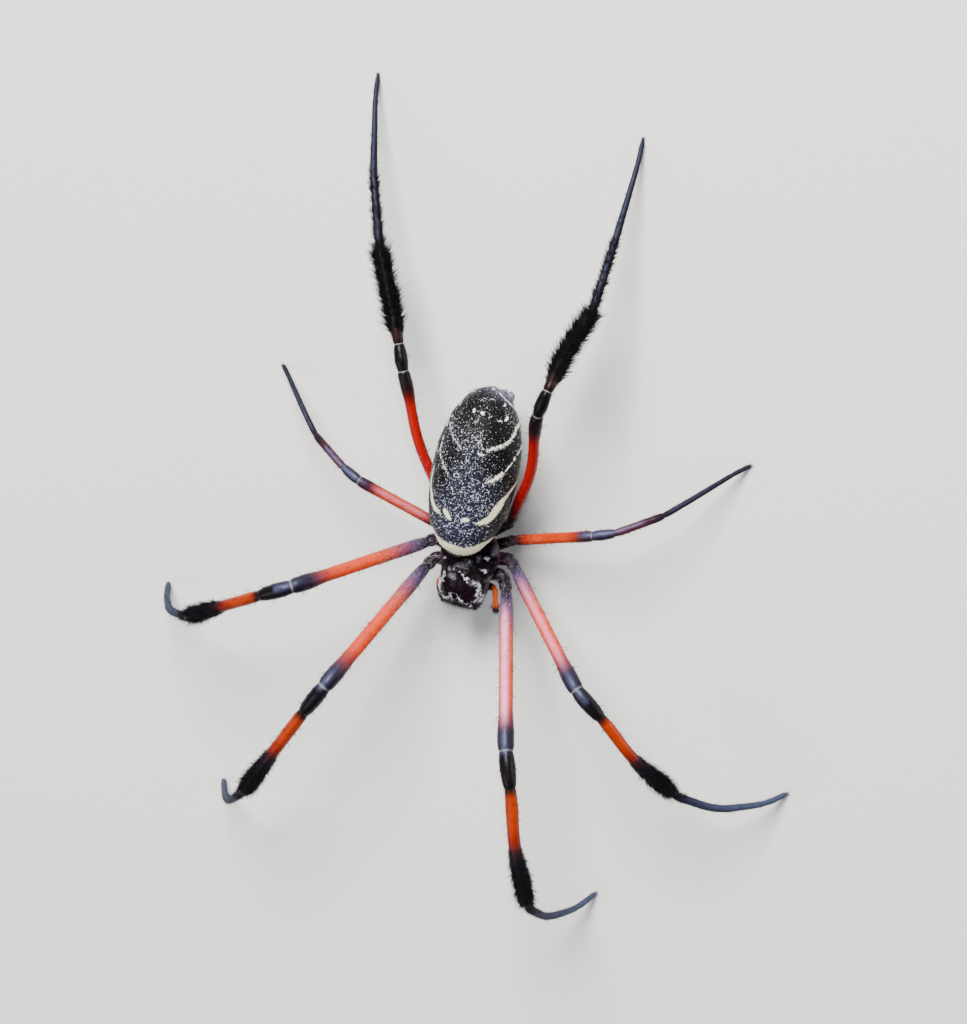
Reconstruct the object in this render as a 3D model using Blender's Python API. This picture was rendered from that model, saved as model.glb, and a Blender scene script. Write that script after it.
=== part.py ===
"""Golden silk orb weaver: a life-size female standing with its legs spread as on its web.

The head points to -Y, the tail to +Y, and Z = 0 is the surface that the eight feet stand on.
Sizes are in millimetres, and MM turns them into metres.
"""
import math
import random

import bmesh
import bpy
import numpy as np
from mathutils import Vector

MM = 0.001
NAME = "golden_silk_orb_weaver"

# kept between neighbouring pieces
GAP = 0.3

# body levels above the floor
CARAPACE_UNDERSIDE = 8.95
CARAPACE_MARGIN = 9.3
STERNUM_MIDDLE = 7.5
HIP_HEIGHT = 8.5

# carapace stations from the face to the waist: place along Y, half width, height above the margin
CARAPACE = (
    (-11.15, 2.1, 0.75),
    (-10.9, 2.65, 1.35),
    (-10.3, 3.05, 2.1),
    (-9.0, 3.4, 3.0),
    (-7.2, 3.5, 3.5),
    (-5.8, 3.7, 3.3),
    (-4.2, 4.2, 2.2),
    (-2.6, 4.2, 1.4),
    (-1.0, 3.5, 0.9),
    (0.2, 2.1, 0.65),
    (0.6, 1.2, 0.55),
)
CARAPACE_SIDES = 20
CARAPACE_RINGS = 19
# rings crowd towards the face by this power
CARAPACE_CROWDING = 1.25

# sternum stations: place along Y, half width, half thickness
STERNUM = (
    (-8.1, 0.7, 0.55),
    (-7.2, 1.55, 0.9),
    (-5.5, 2.15, 1.0),
    (-3.8, 2.1, 1.0),
    (-2.0, 1.6, 0.95),
    (-0.9, 0.85, 0.75),
    (-0.4, 0.4, 0.5),
)

# abdomen: its long axis, then stations along it (0 front, 1 rear): half width, rise above, depth below
ABDOMEN_FRONT = (-0.5, -3.2, 14.6)
ABDOMEN_REAR = (-1.0, 21.0, 11.4)
ABDOMEN = (
    (0.0, 0.5, 0.4, 0.3),
    (0.04, 2.3, 1.9, 0.9),
    (0.12, 4.0, 3.4, 2.3),
    (0.25, 5.35, 4.7, 4.1),
    (0.42, 6.0, 5.4, 5.8),
    (0.6, 6.0, 5.5, 6.3),
    (0.76, 5.3, 4.9, 5.9),
    (0.88, 4.0, 3.7, 4.8),
    (0.96, 2.4, 2.1, 3.1),
    (1.0, 0.6, 0.5, 0.8),
)
ABDOMEN_SIDES = 24
ABDOMEN_RINGS = 20

# the waist between them: its length, its rise towards the abdomen, its diameter
WAIST_LENGTH = 2.3
WAIST_RISE = 0.95
WAIST_WIDTH = 0.95

# spinnerets: share of the abdomen's length where they grow from its underside, and where they point
SPINNERET_SHARE = 0.915
SPINNERET_AIM = (0.16, 0.72, -0.66)
# how deep the flat lies in the abdomen, and how far it is set to the left
SPINNERET_SUNK = 0.5
SPINNERET_ASIDE = 0.6

# each palp's route from beside the mouth to its tip, and its diameters there
PALP_ROUTE = {
    "left": (
        (1.75, -8.6, 7.2),
        (2.6, -8.2, 7.2),
        (3.5, -7.85, 7.3),
        (4.15, -8.15, 7.5),
        (4.45, -9.2, 7.6),
        (4.6, -10.2, 7.2),
        (4.6, -10.95, 6.5),
        (4.5, -11.45, 5.7),
    ),
    "right": (
        (-1.75, -8.6, 7.2),
        (-2.6, -8.45, 7.2),
        (-3.5, -8.25, 7.2),
        (-4.1, -8.8, 7.1),
        (-4.25, -9.8, 6.5),
        (-4.1, -10.7, 5.7),
        (-3.8, -11.3, 4.8),
        (-3.5, -11.6, 4.0),
    ),
}
PALP_WIDTHS = (1.1, 1.15, 1.05, 0.95, 0.95, 1.15, 1.1, 0.6)

HORN_PLACE = (0.62, -5.5)
HORN_WIDTH = 0.9
HORN_RISE = 0.75

EYE_WIDTH = 0.5
EYE_SOCKET = 0.2

# per pair: hip's reach from the middle, its place along Y
HIP = {1: (6.0, -7.2), 2: (6.4, -3.9), 3: (5.6, -0.7), 4: (4.7, 1.6)}
# per pair: root's place along Y on the sternum's side, coxa's end (reach, place)
COXA = {1: (-6.0, (4.95, -5.5)), 2: (-4.0, (5.4, -3.0)), 3: (-2.3, (4.7, -1.0)), 4: (-0.9, (3.5, 1.0))}

# per pair: femur, patella, tibia, near and far half of the metatarsus, tarsus
LEG_LENGTHS = {
    1: (23.9, 5.2, 17.3, 9.1, 9.0, 4.9),
    2: (22.5, 5.0, 15.5, 8.0, 8.9, 4.4),
    3: (13.0, 3.2, 7.2, 5.9, 6.0, 3.4),
    4: (21.3, 3.8, 13.8, 10.7, 11.5, 4.0),
}
# per pair: diameters along the leg
LEG_WIDTHS = {
    1: {"hip": 1.9, "femur": 2.0, "knee": 2.4, "patella": 2.3, "tibia": 1.75, "ankle": 1.2, "tip": 0.72},
    2: {"hip": 1.85, "femur": 1.85, "knee": 2.3, "patella": 2.2, "tibia": 1.6, "ankle": 1.2, "tip": 0.72},
    3: {"hip": 1.6, "femur": 1.5, "knee": 1.6, "patella": 1.5, "tibia": 1.1, "ankle": 0.85, "tip": 0.58},
    4: {"hip": 1.6, "femur": 1.5, "knee": 1.85, "patella": 1.9, "tibia": 1.6, "ankle": 1.2, "tip": 0.62},
}
# per leg: how far the hip is swung to the rear, headings of the six stretches in degrees from +X
# towards +Y, and pitches above level of all but the tarsus, which reaches down to the floor
LEG_POSE = {
    ("left", 1): (-0.2, (-69, -67, -71, -68, -14, 47), (31, 15, -3, -65, -75)),
    ("left", 2): (0.0, (-38, -36, -39, -20, 6, 31), (33, -3, -17, -43, -52)),
    ("left", 3): (0.5, (20, 20, 32, 43, 44, 38), (17, -6, -21, -32, -40)),
    ("left", 4): (0.5, (80, 78, 79, 90, 91, 96), (31, 10, -37, -28, -26)),
    ("right", 1): (0.4, (-113, -118, -117, -133, -158, 177), (40, -9, -11, -50, -66)),
    ("right", 2): (0.5, (-152, -151, -148, -162, -178, 154), (46, -2, -23, -51, -66)),
    ("right", 3): (0.0, (159, 159, 154, 140, 145, 155), (22, -17, -25, -29, -41)),
    ("right", 4): (-0.2, (116, 112, 116, 112, 108, 107), (11, -7, -8, -17, -24)),
}
# how far a stretch bows at its middle towards its own right-hand side: femur, tibia
LEG_BOW = {
    ("left", 1): (0.0, 0.5),
    ("left", 2): (0.0, 0.6),
    ("left", 4): (1.0, -0.4),
    ("right", 4): (-0.9, 0.0),
}
# length over which a corner between two stretches is rounded, on each side
CORNER = {1: 1.9, 2: 1.8, 3: 1.3, 4: 1.5}
# per pair: share of the tibia where its hair brush starts, the brush's full width, its rows of locks,
# and the locks in a row
BRUSH = {1: (0.52, 3.3, 6, 6), 2: (0.52, 3.1, 5, 6), 4: (0.13, 3.7, 6, 6)}
# the brush's dense core takes this part of the way from the shaft to the tips
BRUSH_CORE = 0.3
# a lock: width and thickness at its root, depth of the root in the leg, run along the leg
LOCK_WIDTH = 1.05
LOCK_THICKNESS = 0.55
LOCK_SUNK = 0.4
LOCK_RUN = 2.1

# colour, roughness and metallic value of each finish
FINISHES = {
    "carapace_black": ((0.018, 0.014, 0.02), 0.38, 0.0),
    "abdomen_slate": ((0.05, 0.055, 0.08), 0.5, 0.0),
    "spinneret_grey": ((0.16, 0.12, 0.16), 0.6, 0.0),
    "coxa_plum": ((0.09, 0.03, 0.045), 0.45, 0.0),
    "femur_orange": ((0.75, 0.16, 0.05), 0.35, 0.0),
    "femur_red": ((0.42, 0.02, 0.015), 0.35, 0.0),
    "tibia_black": ((0.02, 0.014, 0.02), 0.45, 0.0),
    "foot_blue_black": ((0.03, 0.035, 0.06), 0.4, 0.0),
    "fang_brown": ((0.05, 0.012, 0.008), 0.2, 0.0),
    "palp_orange": ((0.7, 0.2, 0.05), 0.4, 0.0),
    "eye_black": ((0.006, 0.005, 0.006), 0.08, 0.0),
}


def clear_scene():
    for item in list(bpy.data.objects):
        bpy.data.objects.remove(item)


def new_collection(name):
    made = bpy.data.collections.new(name)
    bpy.context.scene.collection.children.link(made)
    return made


def new_material(name):
    colour, roughness, metallic = FINISHES[name]
    made = bpy.data.materials.new(name)
    made.use_nodes = True
    shader = made.node_tree.nodes["Principled BSDF"]
    shader.inputs["Base Color"].default_value = (*colour, 1.0)
    shader.inputs["Roughness"].default_value = roughness
    shader.inputs["Metallic"].default_value = metallic
    return made


def new_part(name, mesh, finish):
    """An object of the model, in its collection and with its finish."""
    mesh.name = name
    mesh.materials.clear()
    mesh.materials.append(bpy.data.materials.get(finish) or new_material(finish))
    mesh.shade_smooth()
    part = bpy.data.objects.new(name, mesh)
    bpy.data.collections[NAME].objects.link(part)
    return part


def through_stations(stations, where):
    """Smooth curves through the stations: cubic, with each slope taken from both neighbours."""
    table = np.array(stations, dtype=float)
    places = table[:, 0]
    values = table[:, 1:]
    slopes = np.gradient(values, places, axis=0)
    where = np.clip(np.asarray(where, dtype=float), places[0], places[-1])
    left = np.clip(np.searchsorted(places, where, side="right") - 1, 0, len(places) - 2)
    span = (places[left + 1] - places[left])[:, None]
    t = (where - places[left])[:, None] / span
    start = values[left] * (1 + 2 * t) * (1 - t) ** 2 + slopes[left] * span * t * (1 - t) ** 2
    end = values[left + 1] * t * t * (3 - 2 * t) + slopes[left + 1] * span * t * t * (t - 1)
    return start + end


def loft(rings):
    """A closed mesh over rings of points with a face across each end; rings in millimetres."""
    rings = np.asarray(rings)
    count, sides = rings.shape[:2]
    shape = bmesh.new()
    verts = [shape.verts.new(place) for place in rings.reshape(-1, 3) * MM]
    for ring in range(count - 1):
        for side in range(sides):
            following = (side + 1) % sides
            low = ring * sides
            high = low + sides
            corners = (low + side, low + following, high + following, high + side)
            shape.faces.new([verts[corner] for corner in corners])
    shape.faces.new(verts[:sides])
    shape.faces.new(verts[-sides:])
    bmesh.ops.recalc_face_normals(shape, faces=shape.faces)
    mesh = bpy.data.meshes.new("loft")
    shape.to_mesh(mesh)
    shape.free()
    return mesh


def evaluated_mesh(holder):
    """The mesh that an object shows with its modifiers, its own to keep."""
    bpy.context.view_layer.update()
    seen = holder.evaluated_get(bpy.context.evaluated_depsgraph_get())
    return bpy.data.meshes.new_from_object(seen)


def bar(points, widths, bevel_resolution=3):
    """A closed round bar through the points, each with its own diameter, in millimetres."""
    curve = bpy.data.curves.new("bar", "CURVE")
    curve.dimensions = "3D"
    curve.bevel_depth = MM
    curve.bevel_resolution = bevel_resolution
    curve.use_fill_caps = True
    spline = curve.splines.new("POLY")
    spline.points.add(len(points) - 1)
    for point, place, width in zip(spline.points, points, widths):
        point.co = (*(Vector(place) * MM), 1.0)
        point.radius = float(width) / 2
    holder = bpy.data.objects.new("bar", curve)
    bpy.context.scene.collection.objects.link(holder)
    mesh = evaluated_mesh(holder)
    bpy.data.objects.remove(holder)
    shape = bmesh.new()
    shape.from_mesh(mesh)
    bmesh.ops.remove_doubles(shape, verts=shape.verts, dist=0.001 * MM)
    bmesh.ops.recalc_face_normals(shape, faces=shape.faces)
    shape.to_mesh(mesh)
    shape.free()
    return mesh


def ball(centre, width, segments, rings):
    """A round bead of the given diameter."""
    shape = bmesh.new()
    bmesh.ops.create_uvsphere(shape, u_segments=segments, v_segments=rings, radius=width / 2 * MM)
    bmesh.ops.translate(shape, verts=shape.verts, vec=Vector(centre) * MM)
    mesh = bpy.data.meshes.new("ball")
    shape.to_mesh(mesh)
    shape.free()
    return mesh


def largest_surface(mesh):
    """Drop every loose surface but the one with the most faces."""
    shape = bmesh.new()
    shape.from_mesh(mesh)
    shape.verts.ensure_lookup_table()
    unseen = set(shape.verts)
    groups = []
    while unseen:
        reached = [unseen.pop()]
        group = set(reached)
        while reached:
            vert = reached.pop()
            for edge in vert.link_edges:
                other = edge.other_vert(vert)
                if other not in group:
                    group.add(other)
                    unseen.discard(other)
                    reached.append(other)
        groups.append(group)
    kept = max(groups, key=len)
    bmesh.ops.delete(shape, geom=[vert for vert in shape.verts if vert not in kept], context="VERTS")
    shape.to_mesh(mesh)
    shape.free()


def combine(mesh, others, operation, solver="EXACT"):
    """Join the other closed meshes to this one, or cut them out of it, by one Boolean."""
    group = bpy.data.collections.new("boolean")
    bpy.context.scene.collection.children.link(group)
    for other in others:
        piece = bpy.data.objects.new("piece", other)
        piece.hide_render = True
        piece.display_type = "WIRE"
        group.objects.link(piece)
    holder = bpy.data.objects.new("holder", mesh)
    bpy.context.scene.collection.objects.link(holder)
    boolean = holder.modifiers.new("boolean", "BOOLEAN")
    boolean.operand_type = "COLLECTION"
    boolean.collection = group
    boolean.operation = operation
    boolean.solver = solver
    made = evaluated_mesh(holder)
    for item in [holder, *group.objects]:
        bpy.data.objects.remove(item)
    bpy.data.collections.remove(group)
    largest_surface(made)
    return made


def trimmed(mesh, place, outwards):
    """Cut off what lies beyond a plane, leaving a flat face there."""
    shape = bmesh.new()
    shape.from_mesh(mesh)
    geometry = shape.verts[:] + shape.edges[:] + shape.faces[:]
    cut = bmesh.ops.bisect_plane(
        shape,
        geom=geometry,
        dist=0.0001 * MM,
        plane_co=Vector(place) * MM,
        plane_no=Vector(outwards),
        clear_outer=True,
    )
    rim = [item for item in cut["geom_cut"] if isinstance(item, bmesh.types.BMEdge)]
    bmesh.ops.contextual_create(shape, geom=rim)
    bmesh.ops.recalc_face_normals(shape, faces=shape.faces)
    shape.to_mesh(mesh)
    shape.free()
    return mesh


def carapace_height(place):
    """Top of the carapace's midline above the floor at this place along Y."""
    return CARAPACE_MARGIN + float(through_stations(CARAPACE, [place])[0, 1])


def carapace_rings():
    """Arched sections: a round top over a shallow underside, closing in at the face and the waist."""
    front = CARAPACE[0][0]
    shares = np.linspace(0, 1, CARAPACE_RINGS) ** CARAPACE_CROWDING
    places = front + (CARAPACE[-1][0] - front) * shares
    sizes = through_stations(CARAPACE, places)
    turn = np.linspace(0, 2 * math.pi, CARAPACE_SIDES, endpoint=False)
    across = np.sign(np.cos(turn)) * np.abs(np.cos(turn)) ** 0.85
    up = np.sin(turn)
    rings = np.empty((len(places), len(turn), 3))
    rings[:, :, 0] = sizes[:, :1] * across
    rings[:, :, 1] = places[:, None]
    over = np.maximum(up, 0) ** 0.9 * sizes[:, 1:2]
    under = np.minimum(up, 0) * (CARAPACE_MARGIN - CARAPACE_UNDERSIDE)
    rings[:, :, 2] = CARAPACE_MARGIN + over + under
    return rings


def eye_places():
    """Eye names with their places on the face: two rows of four, the outer ones on the corners."""
    front = CARAPACE[0][0]
    rows = {
        "median_front": (0.42, front + 0.4, carapace_height(front + 0.4) + 0.05),
        "median_rear": (0.5, front + 1.2, carapace_height(front + 1.2) + 0.08),
        "side_front": (2.45, front + 0.3, CARAPACE_MARGIN + 0.75),
        "side_rear": (2.9, front + 0.95, CARAPACE_MARGIN + 0.95),
    }
    places = {}
    for name, (reach, place, height) in rows.items():
        places["eye_" + name + "_left"] = (reach, place, height)
        places["eye_" + name + "_right"] = (-reach, place, height)
    return places


def make_carapace():
    """The shield of head and thorax, with two horns behind the head and a socket for each eye."""
    mesh = loft(carapace_rings())
    reach, place = HORN_PLACE
    crest = carapace_height(place)
    horns = []
    for side in (-1, 1):
        root = (side * reach, place, crest - 0.9)
        tip = (side * reach, place + 0.1, crest + HORN_RISE)
        horns.append(bar([root, (side * reach, place, crest), tip], [HORN_WIDTH, HORN_WIDTH, 0.4], 2))
    mesh = combine(mesh, horns, "UNION")
    sockets = [ball(place, EYE_WIDTH + 2 * EYE_SOCKET, 7, 4) for place in eye_places().values()]
    mesh = combine(mesh, sockets, "DIFFERENCE")
    new_part("carapace", mesh, "carapace_black")


def make_eyes():
    for name, place in eye_places().items():
        new_part(name, ball(place, EYE_WIDTH, 8, 5), "eye_black")


def sternum_reach(place):
    """Half width of the sternum at this place along Y."""
    return float(through_stations(STERNUM, [place])[0, 0])


def make_sternum():
    """The plate between the leg roots, on the underside."""
    places = np.linspace(STERNUM[0][0], STERNUM[-1][0], 10)
    sizes = through_stations(STERNUM, places)
    turn = np.linspace(0, 2 * math.pi, 14, endpoint=False)
    rings = np.empty((len(places), len(turn), 3))
    rings[:, :, 0] = sizes[:, :1] * np.sign(np.cos(turn)) * np.abs(np.cos(turn)) ** 0.7
    rings[:, :, 1] = places[:, None]
    rings[:, :, 2] = STERNUM_MIDDLE + sizes[:, 1:2] * np.sin(turn)
    new_part("sternum", loft(rings), "carapace_black")


def abdomen_frame():
    """Start of the abdomen's long axis, the axis itself, and the directions across and up."""
    start = np.array(ABDOMEN_FRONT)
    axis = np.array(ABDOMEN_REAR) - start
    along = axis / np.linalg.norm(axis)
    across = np.cross(along, (0.0, 0.0, 1.0))
    across /= np.linalg.norm(across)
    return start, axis, across, np.cross(across, along)


def abdomen_rings():
    """Egg-shaped sections round the long axis, higher above it or deeper below it by its stations."""
    start, axis, across, up = abdomen_frame()
    steps = (1 - np.cos(np.linspace(0, math.pi, ABDOMEN_RINGS))) / 2
    sizes = through_stations(ABDOMEN, steps)
    turn = np.linspace(0, 2 * math.pi, ABDOMEN_SIDES, endpoint=False)
    height = np.where(np.sin(turn) > 0, sizes[:, 1:2], sizes[:, 2:3]) * np.sin(turn)
    centres = start + steps[:, None] * axis
    wide = (sizes[:, :1] * np.cos(turn))[:, :, None] * across
    return centres[:, None, :] + wide + height[:, :, None] * up


def waist_points():
    """Where the carapace's rear face and the abdomen's waist flat face each other."""
    rear = CARAPACE[-1][0]
    level = (CARAPACE_UNDERSIDE + CARAPACE_MARGIN + CARAPACE[-1][2]) / 2
    return Vector((0.0, rear, level)), Vector((-0.15, rear + WAIST_LENGTH, level + WAIST_RISE))


def spinneret_root():
    """Middle of the small flat on the abdomen's underside that the spinnerets stand on."""
    start, axis, across, up = abdomen_frame()
    depth = float(through_stations(ABDOMEN, [SPINNERET_SHARE])[0, 2])
    surface = start + SPINNERET_SHARE * axis - up * depth + across * SPINNERET_ASIDE
    return Vector(surface) - Vector(SPINNERET_AIM).normalized() * SPINNERET_SUNK


def make_abdomen():
    """The long abdomen, with small flats where the waist and the spinnerets meet it."""
    mesh = loft(abdomen_rings())
    waist_start, waist_end = waist_points()
    notch = bar([waist_end, waist_end.lerp(waist_start, 0.5), waist_start], [2.4 * WAIST_WIDTH] * 3, 3)
    mesh = combine(mesh, [notch], "DIFFERENCE")
    mesh = trimmed(mesh, spinneret_root(), SPINNERET_AIM)
    new_part("abdomen", mesh, "abdomen_slate")


def make_pedicel():
    """The narrow waist between the carapace and the abdomen."""
    start, end = waist_points()
    along = (end - start).normalized()
    first = start + along * GAP
    last = end - along * GAP
    middle = (first + last) / 2
    widths = [WAIST_WIDTH, WAIST_WIDTH * 0.9, WAIST_WIDTH]
    new_part("pedicel", bar([first, middle, last], widths, 2), "coxa_plum")


def make_spinnerets():
    """A low mound with two pairs of stout spinnerets and the blunt tubercle over them."""
    aim = Vector(SPINNERET_AIM).normalized()
    side = Vector((1.0, 0.0, 0.0))
    upper = side.cross(aim)
    base = spinneret_root() + aim * GAP
    mound = bar([base, base + aim * 0.6, base + aim * 1.0], [3.3, 3.1, 2.2], 4)
    fingers = []
    for sideways, upwards, length, width in (
        (0.68, -0.6, 2.3, 1.05),
        (-0.68, -0.6, 2.3, 1.05),
        (0.64, 0.4, 2.0, 0.9),
        (-0.64, 0.4, 2.0, 0.9),
        (0.0, 1.0, 1.9, 1.0),
    ):
        root = base + side * sideways + upper * upwards
        tip = root + aim * length + side * sideways * 0.15
        route = [root + aim * 0.25, root.lerp(tip, 0.6), tip]
        fingers.append(bar(route, [width, width * 0.95, width * 0.5], 2))
    new_part("spinnerets", combine(mound, fingers, "UNION"), "spinneret_grey")


def make_mouthparts():
    """Chelicerae under the face, a fang folded in below each, and a palp beside each."""
    front = CARAPACE[0][0]
    top = CARAPACE_UNDERSIDE - GAP
    for name, side in (("left", 1), ("right", -1)):
        reach = 1.2 * side
        points = [
            (reach, front + 1.0, top),
            (reach, front + 0.75, top - 0.5),
            (reach, front + 0.5, top - 1.8),
            (reach * 0.97, front + 0.75, top - 3.2),
            (reach * 0.93, front + 1.1, top - 4.0),
        ]
        new_part("chelicera_" + name, bar(points, [1.7, 2.0, 2.05, 1.7, 1.15], 4), "carapace_black")
        root = Vector(points[-1])
        aim = (root - Vector(points[-2])).normalized()
        fang = [
            root + aim * GAP,
            root + aim * (GAP + 0.4),
            root + Vector((-0.2 * side, 0.75, -0.75)),
            root + Vector((-0.4 * side, 1.25, -0.75)),
        ]
        new_part("fang_" + name, bar(fang, [0.7, 0.65, 0.5, 0.25], 2), "fang_brown")
        new_part("palp_" + name, bar(PALP_ROUTE[name], PALP_WIDTHS, 2), "palp_orange")


def direction(heading, pitch):
    """Unit vector from a heading and a pitch in degrees."""
    heading = math.radians(heading)
    pitch = math.radians(pitch)
    level = math.cos(pitch)
    return Vector((level * math.cos(heading), level * math.sin(heading), math.sin(pitch)))


def leg_joints(side, pair):
    """The leg's corners: coxa root, coxa end, hip, knee and so on down to the tip on the floor."""
    sign = 1 if side == "left" else -1
    swing, headings, pitches = LEG_POSE[side, pair]
    lengths = LEG_LENGTHS[pair]
    root_place, (coxa_reach, coxa_place) = COXA[pair]
    hip_reach, hip_place = HIP[pair]
    root_reach = sternum_reach(root_place) + 2 * GAP
    joints = [
        Vector((sign * root_reach, root_place, STERNUM_MIDDLE + 0.1)),
        Vector((sign * coxa_reach, coxa_place + swing / 2, HIP_HEIGHT - 0.6)),
        Vector((sign * hip_reach, hip_place + swing, HIP_HEIGHT)),
    ]
    for length, heading, pitch in zip(lengths, headings, pitches):
        joints.append(joints[-1] + direction(heading, pitch) * length)
    fall = math.degrees(math.asin(joints[-1].z / lengths[-1]))
    joints.append(joints[-1] + direction(headings[-1], -fall) * lengths[-1])
    return joints


def rounded_corner(before, corner, after, reach):
    """Points round a corner of a path: a parabola from reach before it to reach after it."""
    start = corner.lerp(before, min(0.45, reach / (before - corner).length))
    end = corner.lerp(after, min(0.45, reach / (after - corner).length))
    steps = [count / 8 for count in range(9)]
    return [start * (1 - t) ** 2 + corner * 2 * t * (1 - t) + end * t * t for t in steps]


def leg_stretches(side, pair):
    """The leg's smooth path parted at its joints: one list of points for each of its five nodes."""
    joints = leg_joints(side, pair)
    reach = CORNER[pair]
    corners = {}
    for number in range(1, len(joints) - 1):
        corners[number] = rounded_corner(joints[number - 1], joints[number], joints[number + 1], reach)
    stretches = []
    for first, last in ((0, 2), (2, 3), (3, 4), (4, 5), (5, 8)):
        points = list(corners[first][4:]) if first in corners else [joints[first]]
        for number in range(first + 1, last):
            points += corners[number]
        points += list(corners[last][:5]) if last in corners else [joints[last]]
        stretches.append(points)
    femur_bow, tibia_bow = LEG_BOW.get((side, pair), (0.0, 0.0))
    stretches[1] = bowed(stretches[1], femur_bow)
    stretches[3] = bowed(stretches[3], tibia_bow)
    return stretches


def bowed(points, bow):
    """The stretch with its middle moved level and sideways, in proportion to a squared sine."""
    aside = (points[-1] - points[0]).cross(Vector((0, 0, 1))).normalized()
    shares = np.linspace(0, 1, 25)
    moves = bow * np.sin(math.pi * shares) ** 2
    places = polyline_at(points, shares) + moves[:, None] * np.array(aside)
    return [Vector(place) for place in places]


def polyline_at(points, shares):
    """Places at the given shares of a path's length."""
    points = np.asarray(points, dtype=float)
    steps = np.concatenate(([0.0], np.cumsum(np.linalg.norm(np.diff(points, axis=0), axis=1))))
    wanted = np.asarray(shares) * steps[-1]
    return np.stack([np.interp(wanted, steps, points[:, axis]) for axis in range(3)], axis=1)


def path_length(points):
    return float(np.linalg.norm(np.diff(np.asarray(points, dtype=float), axis=0), axis=1).sum())


def leg_bar(points, stations, open_start=GAP / 2, open_end=GAP / 2):
    """A bar along one stretch, its diameters read from stations (share of length, diameter)."""
    length = path_length(points)
    low = open_start / length
    high = 1 - open_end / length
    shares = np.array([share for share, width in stations], dtype=float)
    places = polyline_at(points, low + (high - low) * shares)
    return bar(places, [width for share, width in stations])


def make_leg(side, pair):
    """One leg as coxa, femur, patella, tibia and foot, each a node of its own."""
    label = "leg_" + str(pair) + "_" + side + "_"
    width = LEG_WIDTHS[pair]
    coxa, femur, patella, tibia, foot = leg_stretches(side, pair)
    hip = width["hip"]
    coxa_stations = (
        (0, hip * 0.8),
        (0.08, hip * 0.9),
        (0.35, hip),
        (0.6, hip),
        (0.8, hip * 0.98),
        (1, hip * 0.85),
    )
    new_part(label + "coxa", leg_bar(coxa, coxa_stations, 0.0), "coxa_plum")

    thick = width["femur"]
    knee = width["knee"]
    femur_stations = (
        (0, hip * 0.78),
        (0.03, hip * 0.88),
        (0.12, thick),
        (0.28, thick),
        (0.45, thick),
        (0.62, thick),
        (0.78, thick * 1.02),
        (0.9, knee),
        (0.96, knee * 0.98),
        (1, knee * 0.8),
    )
    finish = "femur_red" if pair == 4 else "femur_orange"
    new_part(label + "femur", leg_bar(femur, femur_stations), finish)

    cap = width["patella"]
    patella_stations = (
        (0, knee * 0.72),
        (0.1, knee * 0.86),
        (0.35, cap),
        (0.65, cap * 0.95),
        (0.9, cap * 0.82),
        (1, cap * 0.7),
    )
    new_part(label + "patella", leg_bar(patella, patella_stations), "tibia_black")

    new_part(label + "tibia", make_tibia(tibia, side, pair), "tibia_black")

    ankle = width["ankle"]
    tip = width["tip"]
    foot_shares = (0, 0.03, 0.13, 0.25, 0.37, 0.48, 0.6, 0.71, 0.8, 0.88, 1)
    foot_stations = [(share, ankle + (tip - ankle) * share**1.4) for share in foot_shares]
    last = foot[-1] - foot[-2]
    below = foot[-1] + last.normalized() * (tip / 2 / max(0.3, -last.normalized().z))
    mesh = leg_bar(foot[:-1] + [below], foot_stations, GAP / 2, 0.0)
    new_part(label + "foot", trimmed(mesh, (0, 0, 0), (0, 0, -1)), "foot_blue_black")


def brush_fullness(share):
    """How far the brush stands out along its own length: short first hairs, full, then closing in."""
    return 0.45 + 0.55 * min(1.0, share / 0.22) - 0.22 * max(0.0, (share - 0.7) / 0.3)


def lock(root, outwards, along, reach, run):
    """A flat lock of hair: ridged sections from a sunk root, lying over towards its pointed tip."""
    across = along.cross(outwards).normalized()
    ridge = (outwards * run - along * reach).normalized() * LOCK_THICKNESS
    sunk = root - outwards * LOCK_SUNK - along * LOCK_SUNK * 0.5
    bend = root + outwards * reach * 0.68 + along * run * 0.55
    rings = []
    for centre, broad in ((sunk, 0.8), (root + along * 0.1, 1.0), (bend, 0.75)):
        wide = across * LOCK_WIDTH * broad / 2
        rings.append([centre + wide, centre + ridge * broad * 0.65, centre - wide])
    return pointed_loft(rings, root + outwards * reach + along * run)


def pointed_loft(rings, tip):
    """A closed mesh over rings of points, with a face across the first and a point after the last."""
    shape = bmesh.new()
    verts = [[shape.verts.new(place * MM) for place in ring] for ring in rings]
    point = shape.verts.new(tip * MM)
    sides = len(rings[0])
    shape.faces.new(verts[0])
    for side in range(sides):
        following = (side + 1) % sides
        for low, high in zip(verts, verts[1:]):
            shape.faces.new((low[side], low[following], high[following], high[side]))
        shape.faces.new((verts[-1][side], verts[-1][following], point))
    bmesh.ops.recalc_face_normals(shape, faces=shape.faces)
    mesh = bpy.data.meshes.new("lock")
    shape.to_mesh(mesh)
    shape.free()
    return mesh


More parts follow.
